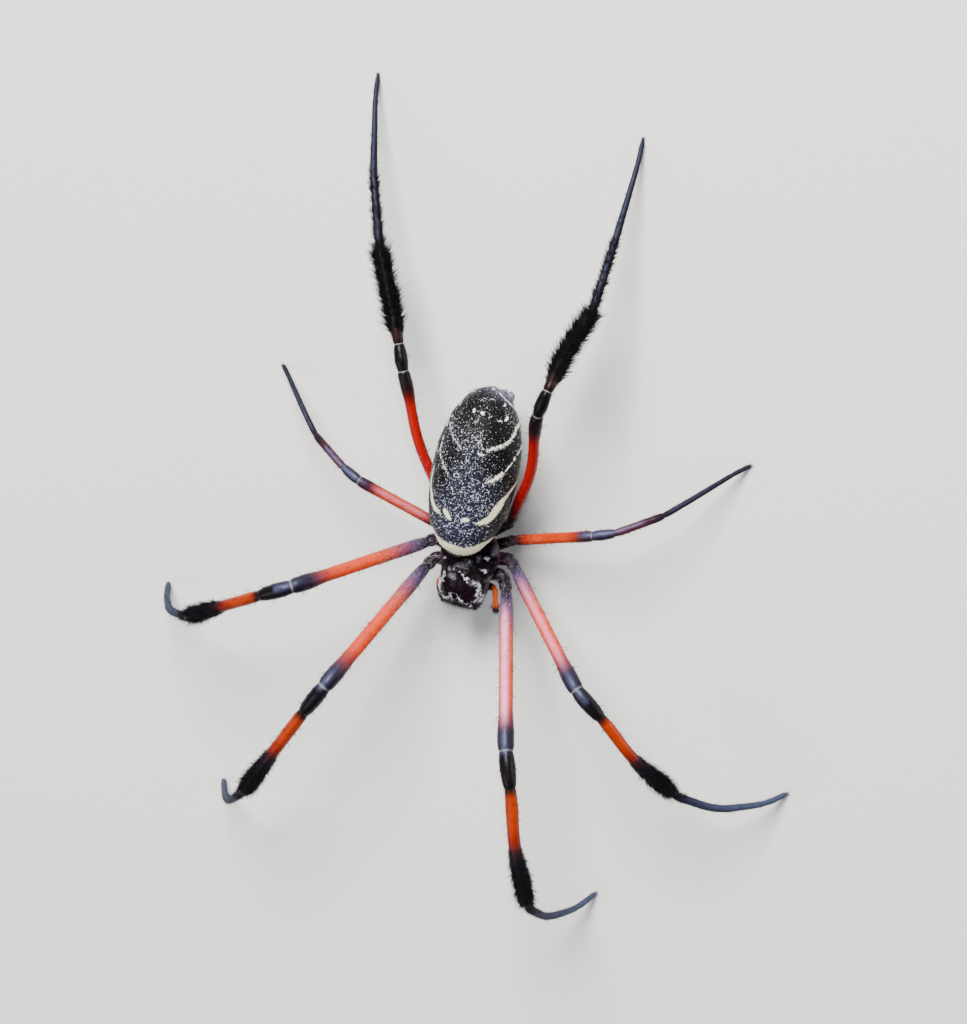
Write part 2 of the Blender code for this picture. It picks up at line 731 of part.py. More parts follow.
def brush_locks(points, side, pair):
    """Rows of locks round the brush's stretch of the tibia, each row turned half a step on the last."""
    start, full, rows, around = BRUSH[pair]
    shaft = LEG_WIDTHS[pair]["tibia"]
    core = shaft + (full - shaft) * BRUSH_CORE
    length = path_length(points)
    draw = random.Random(pair * 10 + (side == "left"))
    locks = []
    for row in range(rows):
        step = (row + 0.25) / rows
        share = start + (1 - start) * step
        nearby = polyline_at(points, (share - 0.02, share, share + 0.02))
        before, here, after = (Vector(place) for place in nearby)
        along = (after - before).normalized()
        level = along.cross(Vector((0, 0, 1))).normalized()
        upper = level.cross(along)
        fullness = brush_fullness(step)
        surface = (shaft + (core - shaft) * fullness) / 2
        room = (1 - share) * length
        for place in range(around):
            turn = 2 * math.pi * (place + 0.5 * (row % 2) + draw.uniform(-0.12, 0.12)) / around
            outwards = level * math.cos(turn) + upper * math.sin(turn)
            tip = full / 2 * fullness * draw.uniform(0.92, 1.08) + shaft / 2 * (1 - fullness)
            run = min(LOCK_RUN * draw.uniform(0.9, 1.1), room + 0.1)
            root = here + outwards * (surface - 0.12)
            locks.append(lock(root, outwards, along, tip - surface + 0.12, run))
    return locks


def make_tibia(points, side, pair):
    """The tibia's shaft, with a dense core and rows of locks where it carries a hair brush."""
    width = LEG_WIDTHS[pair]["tibia"]
    if pair not in BRUSH:
        stations = (
            (0, width * 0.85),
            (0.06, width * 0.98),
            (0.35, width),
            (0.7, width),
            (0.93, width * 0.95),
            (1, width * 0.75),
        )
        return leg_bar(points, stations)
    start, full = BRUSH[pair][:2]
    core = (full - width) * BRUSH_CORE
    stations = [(0, width * 0.85), (0.06, width * 0.98)]
    if start > 0.3:
        stations.append((start - 0.12, width))
    for step in (0.0, 0.25, 0.5, 0.75, 0.92):
        stations.append((start + (1 - start) * step, width + core * brush_fullness(step)))
    stations.append((1, width * 0.8))
    return combine(leg_bar(points, stations), brush_locks(points, side, pair), "UNION")


def stand_on_origin():
    """Hang every part on one empty, moved so that the middle of the whole lies over the origin."""
    parts = list(bpy.data.collections[NAME].objects)
    corners = np.array([vert.co[:] for part in parts for vert in part.data.vertices])
    middle = (corners.min(axis=0) + corners.max(axis=0)) / 2
    stand = bpy.data.objects.new("standing_point", None)
    bpy.data.collections[NAME].objects.link(stand)
    for part in parts:
        part.parent = stand
    stand.location = (-middle[0], -middle[1], 0.0)
    bpy.context.view_layer.update()


def main():
    clear_scene()
    new_collection(NAME)
    make_carapace()
    make_eyes()
    make_sternum()
    make_abdomen()
    make_pedicel()
    make_spinnerets()
    make_mouthparts()
    for side, pair in LEG_POSE:
        make_leg(side, pair)
    stand_on_origin()


main()
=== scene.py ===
"""Golden silk orb weaver: the looks of a life-size model of the spider, its head towards -Y.

Forms are worked out in millimetres in the animal's own frame, where the middle of its shield is at
X = 0, and placed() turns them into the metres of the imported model.
"""
import math

import bpy
import numpy as np
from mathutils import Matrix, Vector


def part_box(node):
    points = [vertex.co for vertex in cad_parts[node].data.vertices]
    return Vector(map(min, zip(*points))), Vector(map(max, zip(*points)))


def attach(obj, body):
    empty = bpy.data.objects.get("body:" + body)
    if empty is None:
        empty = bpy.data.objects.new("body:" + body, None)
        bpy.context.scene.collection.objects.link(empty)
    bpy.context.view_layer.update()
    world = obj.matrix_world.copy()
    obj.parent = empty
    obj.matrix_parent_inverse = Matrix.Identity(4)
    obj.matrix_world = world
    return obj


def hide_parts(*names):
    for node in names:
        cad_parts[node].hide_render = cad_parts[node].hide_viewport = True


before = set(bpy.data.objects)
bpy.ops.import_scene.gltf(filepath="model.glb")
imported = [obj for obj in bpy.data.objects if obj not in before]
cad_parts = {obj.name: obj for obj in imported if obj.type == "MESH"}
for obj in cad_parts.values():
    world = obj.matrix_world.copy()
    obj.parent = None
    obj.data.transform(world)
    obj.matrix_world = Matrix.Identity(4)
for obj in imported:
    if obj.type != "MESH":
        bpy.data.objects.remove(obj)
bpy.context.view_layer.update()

MM = 0.001
UP = np.array((0.0, 0.0, 1.0))
# the sides, with the sign that X has there
SIDES = {"left": 1, "right": -1}

# shield stations from the face to the waist: place along Y, half width, height above the margin
CARAPACE = (
    (-11.15, 2.1, 0.75),
    (-10.9, 2.65, 1.35),
    (-10.3, 3.05, 2.1),
    (-9.0, 3.4, 3.0),
    (-7.2, 3.5, 3.5),
    (-5.8, 3.7, 3.3),
    (-4.2, 4.2, 2.2),
    (-2.6, 4.2, 1.4),
    (-1.0, 3.5, 0.9),
    (0.2, 2.1, 0.65),
    (0.6, 1.2, 0.55),
)
CARAPACE_MARGIN = 9.3
CARAPACE_DEPTH = 0.35
FACE = CARAPACE[0][0]

STERNUM = (
    (-8.1, 0.7, 0.55),
    (-7.2, 1.55, 0.9),
    (-5.5, 2.15, 1.0),
    (-3.8, 2.1, 1.0),
    (-2.0, 1.6, 0.95),
    (-0.9, 0.85, 0.75),
    (-0.4, 0.4, 0.5),
)
STERNUM_MIDDLE = 7.5

# soft flanks between shield and sternum: place along Y, half width, half height, middle height
FLANKS = (
    (-10.4, 1.5, 0.5, 8.75),
    (-9.4, 2.1, 0.8, 8.5),
    (-7.6, 2.8, 1.15, 8.2),
    (-5.0, 3.8, 1.25, 8.15),
    (-3.0, 3.9, 1.2, 8.15),
    (-1.5, 3.3, 1.1, 8.2),
    (0.0, 1.9, 0.8, 8.6),
    (0.6, 0.8, 0.4, 9.0),
)

# abdomen: its long axis, then stations (share of the axis, half width, rise above, depth below)
ABDOMEN_FRONT = np.array((-0.5, -3.2, 14.6))
ABDOMEN_REAR = np.array((-1.0, 21.0, 11.4))
ABDOMEN = (
    (0.0, 0.5, 0.4, 0.3),
    (0.04, 2.3, 1.9, 0.9),
    (0.12, 4.0, 3.4, 2.3),
    (0.25, 5.35, 4.7, 4.1),
    (0.42, 6.0, 5.4, 5.8),
    (0.6, 6.0, 5.5, 6.3),
    (0.76, 5.3, 4.9, 5.9),
    (0.88, 4.0, 3.7, 4.8),
    (0.96, 2.4, 2.1, 3.1),
    (1.0, 0.6, 0.5, 0.8),
)

# per pair: hip's reach and place along Y; root's place on the sternum's side, coxa's end
HIP = {1: (6.0, -7.2), 2: (6.4, -3.9), 3: (5.6, -0.7), 4: (4.7, 1.6)}
COXA = {1: (-6.0, (4.95, -5.5)), 2: (-4.0, (5.4, -3.0)), 3: (-2.3, (4.7, -1.0)), 4: (-0.9, (3.5, 1.0))}
HIP_HEIGHT = 8.5
LEG_LENGTHS = {
    1: (23.9, 5.2, 17.3, 9.1, 9.0, 4.9),
    2: (22.5, 5.0, 15.5, 8.0, 8.9, 4.4),
    3: (13.0, 3.2, 7.2, 5.9, 6.0, 3.4),
    4: (21.3, 3.8, 13.8, 10.7, 11.5, 4.0),
}
# per pair: diameters at hip, femur, knee, patella, tibia, ankle and tip
LEG_WIDTHS = {
    1: (1.9, 2.0, 2.4, 2.3, 1.75, 1.2, 0.72),
    2: (1.85, 1.85, 2.3, 2.2, 1.6, 1.2, 0.72),
    3: (1.6, 1.5, 1.6, 1.5, 1.1, 0.85, 0.58),
    4: (1.6, 1.5, 1.85, 1.9, 1.6, 1.2, 0.62),
}
# per leg: swing of the hip, headings of six stretches, pitches of all but the tarsus, in degrees
LEG_POSE = {
    ("left", 1): (-0.2, (-69, -67, -71, -68, -14, 47), (31, 15, -3, -65, -75)),
    ("left", 2): (0.0, (-38, -36, -39, -20, 6, 31), (33, -3, -17, -43, -52)),
    ("left", 3): (0.5, (20, 20, 32, 43, 44, 38), (17, -6, -21, -32, -40)),
    ("left", 4): (0.5, (80, 78, 79, 90, 91, 96), (31, 10, -37, -28, -26)),
    ("right", 1): (0.4, (-113, -118, -117, -133, -158, 177), (40, -9, -11, -50, -66)),
    ("right", 2): (0.5, (-152, -151, -148, -162, -178, 154), (46, -2, -23, -51, -66)),
    ("right", 3): (0.0, (159, 159, 154, 140, 145, 155), (22, -17, -25, -29, -41)),
    ("right", 4): (-0.2, (116, 112, 116, 112, 108, 107), (11, -7, -8, -17, -24)),
}
LEG_BOW = {
    ("left", 1): (0.0, 0.5),
    ("left", 2): (0.0, 0.6),
    ("left", 4): (1.0, -0.4),
    ("right", 4): (-0.9, 0.0),
}
CORNER = {1: 1.9, 2: 1.8, 3: 1.3, 4: 1.5}
LEG_RINGS = (44, 170, 50, 130, 190)
LEG_SIDES = 28
# a leg's levels: 0 to 1 coxa, 1 to 2 femur, 2 to 3 patella, 3 to 4 tibia, 4 to 5 foot
LEG_NODES = ("coxa", "femur", "patella", "tibia", "foot")

# marks on the abdomen: creaminess (0 white, 1 cream), then (share of the axis, degrees round it from
# the left flank over the back, width)
MARKS = (
    (1.0, ((0.225, 173, 0.3), (0.18, 171, 0.75), (0.13, 166, 1.15), (0.08, 148, 1.4), (0.055, 119, 1.7),
           (0.045, 86, 2.0), (0.045, 54, 1.9), (0.065, 33, 1.8), (0.1, 17, 1.6), (0.13, 5, 1.2),
           (0.17, -6, 0.5))),
    (1.0, ((0.23, 59, 0.35), (0.24, 50, 0.8), (0.265, 40, 1.0), (0.3, 35, 1.2), (0.335, 31, 1.3),
           (0.375, 26, 0.95), (0.405, 20, 0.6), (0.435, 14, 0.5), (0.475, 4, 0.55), (0.52, -8, 0.5),
           (0.565, -13, 0.2))),
    (0.55, ((0.47, 59, 0.3), (0.49, 52, 0.5), (0.51, 45, 0.65), (0.535, 39, 0.55), (0.545, 36, 0.3))),
    (0.1, ((0.555, 34, 0.3), (0.575, 30, 0.4), (0.605, 22, 0.4))),
    (0.1, ((0.63, 18, 0.65),)),
    (0.1, ((0.655, 12, 0.35), (0.685, 4, 0.35), (0.715, -10, 0.3))),
    (0.35, ((0.65, 66, 0.35), (0.665, 60, 0.4), (0.675, 54, 0.4), (0.69, 46, 0.45), (0.705, 38, 0.45),
            (0.73, 31, 0.45), (0.765, 22, 0.5), (0.8, 15, 0.5), (0.82, -2, 0.55), (0.84, -16, 0.2))),
    (0.2, ((0.305, -10, 0.15), (0.26, -8, 0.2), (0.225, -7, 0.2))),
    (0.1, ((0.84, -16, 0.2), (0.87, -11, 0.25), (0.905, -6, 0.25), (0.93, 20, 0.25), (0.955, 36, 0.2),
           (0.97, 42, 0.2))),
    (0.8, ((0.49, 148, 0.3), (0.45, 151, 0.5), (0.405, 151, 0.6), (0.355, 148, 0.6), (0.31, 143, 0.65),
           (0.275, 137, 0.7), (0.255, 130, 0.65), (0.24, 121, 0.5))),
    (0.5, ((0.39, 144, 0.2), (0.36, 136, 0.25), (0.33, 128, 0.2))),
    (0.5, ((0.675, 144, 0.2), (0.645, 144, 0.25), (0.605, 142, 0.3), (0.57, 138, 0.3), (0.545, 132, 0.25),
           (0.52, 127, 0.3), (0.495, 120, 0.25), (0.47, 114, 0.2))),
    (0.4, ((0.75, 140, 0.35), (0.73, 136, 0.3), (0.705, 127, 0.2), (0.675, 118, 0.2), (0.645, 109, 0.2),
           (0.625, 104, 0.2))),
    (0.8, ((0.265, 112, 0.6), (0.25, 108, 0.8), (0.225, 102, 0.55))),
    (0.6, ((0.23, 81, 0.6), (0.24, 76, 0.65), (0.24, 72, 0.45))),
    (0.0, ((0.395, 104, 0.3), (0.385, 102, 0.2))),
    (0.0, ((0.62, 78, 0.3), (0.62, 72, 0.35))),
    (0.0, ((0.68, 80, 0.2), (0.705, 78, 0.2))),
    (0.1, ((0.785, 146, 0.35), (0.795, 146, 0.3))),
    (0.1, ((0.86, 148, 0.35), (0.875, 152, 0.35))),
    (0.0, ((0.98, 174, 0.2), (0.985, 171, 0.2))),
    (0.0, ((0.855, 104, 0.5), (0.845, 102, 0.5))),
    (0.0, ((0.85, 87, 0.55), (0.845, 85, 0.55))),
    (0.0, ((0.91, 40, 0.3), (0.92, 36, 0.4))),
    (0.0, ((0.835, 41, 0.5), (0.85, 36, 0.5))),
    (0.0, ((0.99, 74, 0.4), (0.985, 68, 0.4))),
    (0.0, ((0.79, 92, 0.25), (0.81, 90, 0.2))),
    (0.0, ((0.82, 56, 0.2), (0.825, 50, 0.25))),
    (0.0, ((0.83, 73, 0.2), (0.84, 68, 0.2))),
    (0.0, ((0.905, 99, 0.15), (0.92, 96, 0.15), (0.93, 90, 0.15))),
    (0.0, ((0.93, 79, 0.15), (0.935, 70, 0.2), (0.93, 64, 0.15))),
    (0.0, ((0.97, 43, 0.2), (0.96, 38, 0.25), (0.95, 36, 0.2))),
    # the right flank and the belly, which carry the left flank's marks in mirror image
    (1.0, ((0.435, 166, 0.5), (0.475, 176, 0.5), (0.52, 188, 0.5), (0.565, 193, 0.2))),
    (0.1, ((0.575, 150, 0.3), (0.605, 158, 0.4))),
    (0.1, ((0.655, 168, 0.35), (0.685, 176, 0.35), (0.715, 190, 0.3))),
    (0.3, ((0.73, 149, 0.4), (0.765, 158, 0.5), (0.8, 165, 0.5), (0.82, 182, 0.5), (0.84, 196, 0.2))),
    (0.1, ((0.84, 196, 0.2), (0.87, 191, 0.25), (0.905, 186, 0.25), (0.93, 160, 0.25), (0.955, 144, 0.2))),
    (0.2, ((0.305, 190, 0.15), (0.26, 188, 0.2), (0.225, 187, 0.2))),
    (1.0, ((0.25, 236, 0.4), (0.26, 255, 0.6), (0.26, 285, 0.6), (0.25, 304, 0.4))),
)
# single round spots on the abdomen: share of the axis, degrees, diameter
SPOTS = (
    (0.78, -15, 0.25), (0.755, 1, 0.2), (0.71, 14, 0.25), (0.595, -13, 0.35), (0.825, 22, 0.2),
    (0.175, 106, 0.3), (0.165, 74, 0.25), (0.375, 76, 0.3), (0.49, 102, 0.2), (0.445, 71, 0.2),
    (0.455, 110, 0.25), (0.675, 101, 0.15), (0.93, 165, 0.3), (0.81, 70, 0.15), (0.835, 128, 0.2),
    (0.89, 58, 0.1), (0.92, 106, 0.1), (0.78, 195, 0.25), (0.71, 166, 0.25), (0.595, 193, 0.35),
    (0.36, 252, 0.4), (0.36, 288, 0.4), (0.48, 250, 0.35), (0.48, 290, 0.35), (0.6, 252, 0.3),
    (0.6, 288, 0.3),
)
SPOT_TINT = 0.1
# marks thinner than the first width are drawn narrower by the second one, and half creamy marks by
# the third, in millimetres
THIN_MARK = 0.62
NARROWER = 0.1
FAINT_NARROWER = 0.2
# patches of the abdomen's ground: share, degrees, reach in millimetres, change of fleck density,
# change of blueness
GROUND = (
    (0.68, 30, 2.6, -0.42, -0.4), (0.53, 12, 2.4, -0.45, -0.4), (0.3, 2, 3.2, -0.45, -0.4),
    (0.78, 60, 2.6, -0.18, -0.3), (0.92, 90, 5.2, -0.24, -0.55), (0.68, 86, 2.6, 0.3, 0.1),
    (0.47, 84, 2.6, 0.22, 0.1), (0.33, 62, 2.0, 0.3, 0.1), (0.2, 96, 4.2, 0.15, 0.4),
    (0.5, 150, 3.0, -0.15, -0.1),
    (0.5, 270, 9.0, -0.35, -0.4), (0.3, 178, 3.0, -0.3, -0.3), (0.0, 90, 1.5, -0.6, -0.6),
    (0.42, 128, 1.8, -0.15, -0.3), (0.58, 118, 1.4, -0.12, -0.3), (0.58, 56, 1.6, -0.16, -0.3),
)
PATCH_STRENGTH = 1.4
# lilac-grey patches round the spinnerets: share, degrees, reach in millimetres
LILAC = (
    (0.9, -38, 2.2), (0.985, 10, 1.6), (0.97, -60, 2.2), (0.9, 218, 2.2), (0.97, 240, 2.2),
    (0.93, 270, 2.6),
)
# the abdomen's round dents: shares and degrees that they stand at, reach and depth in millimetres
DENT_SHARES = (0.38, 0.49, 0.62, 0.845)
DENT_DEGREES = (76, 104)
DENT_REACH = math.sqrt(0.12)
DENT_DEPTH = 0.16

# grooves on one half of the shield, seen from above: the neck's line, the place of the pit along Y,
# and the far ends of the rays that start at one place
NECK_LINE = ((0.25, -4.4), (1.7, -5.0), (3.5, -6.3))
PIT_PLACE = -3.8
RAY_START = (0.5, -3.7)
RAY_ENDS = ((3.9, -4.9), (4.1, -3.4), (3.5, -1.7), (1.9, -0.3))

# silver marks on the shield: (X, Y, width) seen from above
SILVER = (
    ((2.6, -3.3, 0.6), (3.0, -3.3, 0.7)),
    ((2.8, -4.9, 0.35), (3.1, -5.0, 0.5)),
    ((-3.2, -4.6, 0.25), (-3.1, -4.6, 0.2)),
    ((0.5, -5.8, 0.25), (0.4, -5.8, 0.2)),
    ((0.8, -6.4, 0.3), (1.1, -6.3, 0.6), (1.2, -6.8, 0.3)),
    ((-2.3, -6.3, 0.2), (-2.4, -6.9, 0.35), (-2.6, -7.6, 0.4), (-3.0, -8.3, 0.4), (-3.0, -8.9, 0.45)),
    ((-2.6, -9.3, 0.25), (-2.5, -9.4, 0.2)),
    ((-2.2, -9.8, 0.25), (-1.9, -10.1, 0.4), (-1.3, -9.9, 0.4), (-0.9, -9.3, 0.35), (-0.6, -8.9, 0.2)),
    ((-0.4, -9.9, 0.2), (-0.3, -9.8, 0.2)),
    ((0.2, -9.1, 0.2), (0.3, -9.5, 0.35), (0.7, -9.8, 0.4), (0.9, -10.2, 0.25)),
    ((1.2, -10.1, 0.25), (1.4, -10.2, 0.2)),
    ((1.9, -10.6, 0.2), (2.1, -10.3, 0.2)),
    ((2.1, -6.7, 0.25), (2.6, -6.8, 0.45), (2.8, -7.3, 0.6), (2.8, -8.0, 0.55), (2.7, -8.6, 0.45)),
    ((3.1, -8.5, 0.25), (3.3, -8.7, 0.3)),
    ((3.2, -9.1, 0.3), (3.1, -9.6, 0.25)),
    ((2.9, -8.9, 0.25), (2.6, -9.4, 0.2), (2.4, -9.8, 0.2)),
    ((-1.0, -5.6, 0.15), (-0.7, -5.7, 0.15), (-0.5, -5.5, 0.15)),
    ((0.7, -4.2, 0.4), (0.8, -4.2, 0.35)),
)
# fainter bloom of the same hair
BLOOM = (
    ((-1.8, -5.7, 0.2), (-1.7, -5.7, 0.2)),
    ((2.0, -6.7, 0.5), (2.4, -7.0, 0.4)),
    ((-0.9, -5.1, 0.5), (-0.3, -4.8, 0.65), (0.2, -4.6, 0.65), (0.7, -4.3, 0.6)),
    ((0.6, -5.1, 0.4), (0.7, -5.2, 0.3)),
    ((-1.4, -6.4, 0.5), (-0.9, -6.5, 0.6)),
    ((1.8, -6.8, 0.5), (2.2, -6.8, 0.6)),
    ((1.8, -3.4, 0.4), (1.8, -3.8, 0.35)),
    ((-3.2, -7.8, 0.4), (-3.2, -8.5, 0.7), (-3.0, -9.2, 0.5)),
    ((3.3, -9.0, 0.9), (3.2, -9.3, 0.7), (2.8, -9.6, 0.4)),
    ((3.7, -6.0, 0.3), (3.6, -6.5, 0.3)),
    ((3.6, -2.4, 0.6), (3.6, -1.6, 0.5)),
    ((-3.6, -2.4, 0.6), (-3.6, -1.6, 0.5)),
)

HORN_PLACE = (0.62, -5.5)

# each palp's route from beside the mouth to its tip, and its diameters there
PALP_ROUTE = {
    "left": (
        (1.75, -8.6, 7.2), (2.6, -8.2, 7.2), (3.5, -7.85, 7.3), (4.15, -8.15, 7.5),
        (4.45, -9.2, 7.6), (4.6, -10.2, 7.2), (4.6, -10.95, 6.5), (4.5, -11.45, 5.7),
    ),
    "right": (
        (-1.75, -8.6, 7.2), (-2.6, -8.45, 7.2), (-3.5, -8.25, 7.2), (-4.1, -8.8, 7.1),
        (-4.25, -9.8, 6.5), (-4.1, -10.7, 5.7), (-3.8, -11.3, 4.8), (-3.5, -11.6, 4.0),
    ),
}
PALP_WIDTHS = (1.1, 1.15, 1.0, 0.82, 0.78, 0.86, 0.98, 0.5)
# shares of the palp's length: its joints, and where each palp's orange begins and ends
PALP_JOINTS = (0.2, 0.42, 0.53, 0.74)
PALP_ORANGE = {"left": (0.43, 0.63), "right": (0.37, 0.45)}

# waist and spinnerets, as the solids have them
WAIST = ((0.0, 0.4, 9.4), (-0.02, 0.7, 9.5), (-0.08, 1.75, 10.0), (-0.16, 3.1, 10.7))
SPINNERET_SHARE = 0.915
SPINNERET_AIM = (0.16, 0.72, -0.66)
SPINNERET_SUNK = 0.5
SPINNERET_ASIDE = 0.6
SPINNERET_GAP = 0.3

# leg colours (sRGB, 0 to 255), by level along the leg
FRONT_LEG_COLOURS = (
    (0.0, (26, 12, 20)), (0.6, (32, 16, 26)), (0.72, (12, 8, 17)), (0.78, (38, 22, 36)),
    (0.95, (28, 19, 33)), (1.0, (18, 14, 28)), (1.05, (50, 40, 64)), (1.12, (84, 62, 96)),
    (1.2, (124, 56, 78)), (1.3, (186, 64, 38)), (1.4, (206, 64, 8)), (1.55, (208, 62, 2)),
    (1.7, (200, 56, 6)), (1.78, (140, 42, 32)), (1.84, (76, 34, 48)), (1.89, (30, 22, 36)),
    (2.0, (18, 14, 26)), (2.3, (12, 9, 15)), (3.0, (14, 9, 12)), (3.03, (66, 18, 7)),
    (3.08, (158, 45, 0)), (3.3, (162, 47, 0)), (3.42, (132, 30, 8)), (3.52, (62, 22, 26)),
    (3.6, (18, 15, 22)), (4.0, (14, 13, 20)), (4.1, (32, 38, 56)), (4.5, (54, 61, 86)),
    (5.0, (66, 74, 100)),
)
THIRD_LEG_COLOURS = (
    (0.0, (44, 22, 34)), (0.72, (30, 18, 28)), (1.0, (36, 14, 18)), (1.08, (50, 12, 12)),
    (1.14, (130, 28, 10)), (1.3, (186, 52, 0)), (1.7, (188, 54, 0)), (1.82, (134, 36, 18)),
    (1.88, (66, 26, 38)), (2.0, (32, 20, 34)), (2.5, (36, 28, 44)), (3.0, (38, 24, 36)),
    (3.1, (78, 30, 40)), (3.5, (68, 26, 38)), (3.85, (38, 22, 34)), (4.0, (20, 17, 28)),
    (4.4, (17, 20, 31)), (5.0, (19, 23, 33)),
)
REAR_LEG_COLOURS = (
    (0.0, (32, 16, 22)), (0.72, (26, 14, 20)), (1.0, (28, 13, 15)), (1.07, (56, 11, 11)),
    (1.14, (106, 9, 9)), (1.3, (148, 8, 7)), (1.55, (162, 14, 7)), (1.76, (158, 15, 7)),
    (1.83, (88, 12, 10)), (1.88, (30, 11, 13)), (2.0, (11, 8, 10)), (3.0, (11, 8, 10)),
    (3.03, (30, 12, 12)), (3.12, (42, 17, 15)), (3.2, (17, 12, 14)), (4.0, (8, 7, 10)),
    (4.15, (9, 11, 20)), (4.6, (11, 14, 25)), (5.0, (15, 18, 30)),
)
# how strongly each femur's upper side is made pale: partly pale hair, partly a painted highlight of the
# light from above
FEMUR_HAIR_AND_HIGHLIGHT = {
    ("left", 1): 1.15, ("left", 2): 0.6, ("left", 3): 0.0, ("left", 4): 0.0,
    ("right", 1): 0.1, ("right", 2): 0.18, ("right", 3): 1.1, ("right", 4): 0.0,
}
# per pair: strength of the painted slate highlight round the knee, and the level where it ends
KNEE_HIGHLIGHT = {1: (0.4, 2.12), 2: (0.45, 2.45), 3: (0.55, 3.6), 4: (0.05, 2.1)}
# the direction that the legs' pale hair and painted highlights face: up and a little back, towards the
# light
HIGHLIGHT_SIDE = np.array((-0.1, 0.42, 0.9))
# pale colours laid on the legs: the femora's pale hair with a painted highlight, a painted slate highlight,
# and pale joint rings with a painted highlight
PALE_FEMUR = (252, 156, 188)
SLATE_HIGHLIGHT = (104, 110, 150)
PALE_RING = (196, 190, 200)

# colours of the finishes (sRGB, 0 to 255)
ABDOMEN_BLACK = (4, 3, 6)
ABDOMEN_BLUE = (38, 40, 60)
LILAC_GREY = (112, 104, 128)
FLECK_WHITE = (238, 238, 242)
FLECK_BLUE = (214, 222, 244)
MARK_WHITE = (240, 241, 244)
MARK_CREAM = (243, 238, 200)
MARK_STAIN = (214, 202, 160)
SHIELD_BLACK = (7, 3, 7)
SHIELD_BROWN = (24, 10, 18)
SHIELD_PLUM = (84, 42, 60)
SILVER_SHADE = (128, 122, 160)
SILVER_LIGHT = (246, 243, 248)
HAIR_BLACK = (5, 4, 7)
HAIR_BROWN = (60, 54, 66)
HAIR_SILVER = (236, 230, 240)
SPINNERET_TINTS = ((96, 86, 106), (150, 140, 164))
CHELICERA_TINTS = ((12, 9, 13), (62, 14, 8))
# the dark that clouds and specks of the cuticle lean to, as linear values
CUTICLE_DARK = (0.01, 0.002, 0.004, 1.0)

# sizes of the abdomen's flecks and dashes, in metres
FINE_FLECKS = 0.00016
COARSE_FLECKS = 0.0003
DASHES = 0.00027

# hair: points of one needle, how far hairs stray from their family's direction, how far apart the
# roots of one lock are and how high hair stays above the floor, in millimetres
HAIR_POINTS = 7
STRAY = 0.16
LOCK_SPREAD = 0.075
FLOOR_GAP = 0.01
# the side of a needle's patch on its map, and its points' places there
HAIR_PATCH = 0.003
HAIR_CORNERS = np.array([(0, 0), (1, 0), (0.5, 1), (0.25, 0.25), (0.75, 0.25), (0.5, 0.75), (0.5, 0.4)])

# the fitted camera: its turn and two tilts in degrees, the place it is fitted at in millimetres and
# in the picture's pixels, the picture's size, millimetres to a pixel, its distance and sensor
CAMERA_ANGLES = (14.3, 16.1, 8.9)
FIT_PLACE = np.array((0.0, -5.5, 13.0))
FIT_PIXEL = (460, 572)
PICTURE = (967, 1024)
PIXEL = 0.14
CAMERA_DISTANCE = 450.0
SENSOR = 36.0
# each light's place along the photo's right, up and back in metres, size, power and colour
LIGHTS = {
    "key": ((-0.16, 0.34, 0.6), 0.36, 13.0, (1.0, 0.98, 0.95)),
    "fill": ((-0.55, -0.3, 0.4), 0.5, 2.4, (0.9, 0.95, 1.0)),
    "rim": ((0.6, 0.1, 0.25), 0.4, 2.4, (0.95, 0.97, 1.0)),
}
LIT_PLACE = np.array((0.0, 0.0, 0.01))
WORLD_COLOUR = (0.86, 0.9, 1.0, 1.0)
WORLD_STRENGTH = 0.24
FLOOR_REACHES = (0.001, 0.2, 0.6, 1.5, 4.0)
FLOOR_SIDES = 96


def placed(points):
    """Millimetres in the animal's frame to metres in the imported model's frame, by one shift."""
    low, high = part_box("carapace")
    shift = np.array(((low.x + high.x) / 2, low.y - FACE * MM, 0.0))
    return np.asarray(points) * MM + shift


def linear(colour):
    """An sRGB colour of 0 to 255 as the linear values that shaders use."""
    share = np.asarray(colour, dtype=float) / 255
    return np.where(share <= 0.04045, share / 12.92, ((share + 0.055) / 1.055) ** 2.4)


def normalised(vectors):
    """Vectors of length 1 in the same directions."""
    return vectors / np.maximum(np.linalg.norm(vectors, axis=-1, keepdims=True), 1e-9)


def smooth_step(low, high, value):
    """0 below low and 1 above high, with the cubic 3 t t - 2 t t t between them."""
    t = np.clip((value - low) / (high - low), 0, 1)
    return t * t * (3 - 2 * t)


def full_turn(count):
    """Angles once round a circle, in even steps from 0."""
    return np.linspace(0, 2 * math.pi, count, endpoint=False)


def bell(distance, reach):
    """1 at distance 0 and falling off on both sides as exp(-(distance / reach) ** 2)."""
    return np.exp(-((distance / reach) ** 2))


def closeness(points, place, reach):
    """The bell of each point's distance from a place."""
    return np.exp(-np.sum((points - place) ** 2, axis=-1) / reach**2)


def mixed(first, second, share):
    """Linear colours between two sRGB colours by each point's share."""
    return linear(first) * (1 - share[:, None]) + linear(second) * share[:, None]


def lengths_along(points):
    """A path's length from its start to each of its points."""
    return np.concatenate(([0.0], np.cumsum(np.linalg.norm(np.diff(points, axis=0), axis=1))))


def through_stations(stations, where):
    """Smooth curves through the stations: cubic, with each slope taken from both neighbours."""
    table = np.array(stations, dtype=float)
    places = table[:, 0]
    values = table[:, 1:]
    slopes = np.gradient(values, places, axis=0)
    where = np.clip(np.asarray(where, dtype=float), places[0], places[-1])
    left = np.clip(np.searchsorted(places, where, side="right") - 1, 0, len(places) - 2)
    span = (places[left + 1] - places[left])[:, None]
    t = (where - places[left])[:, None] / span
    start = values[left] * (1 + 2 * t) * (1 - t) ** 2 + slopes[left] * span * t * (1 - t) ** 2
    end = values[left + 1] * t * t * (3 - 2 * t) + slopes[left + 1] * span * t * t * (t - 1)
    return start + end


def polyline_at(points, shares):
    """Places at the given shares of a path's length."""
    points = np.asarray(points, dtype=float)
    steps = lengths_along(points)
    wanted = np.asarray(shares) * steps[-1]
    return np.stack([np.interp(wanted, steps, points[:, axis]) for axis in range(3)], axis=1)


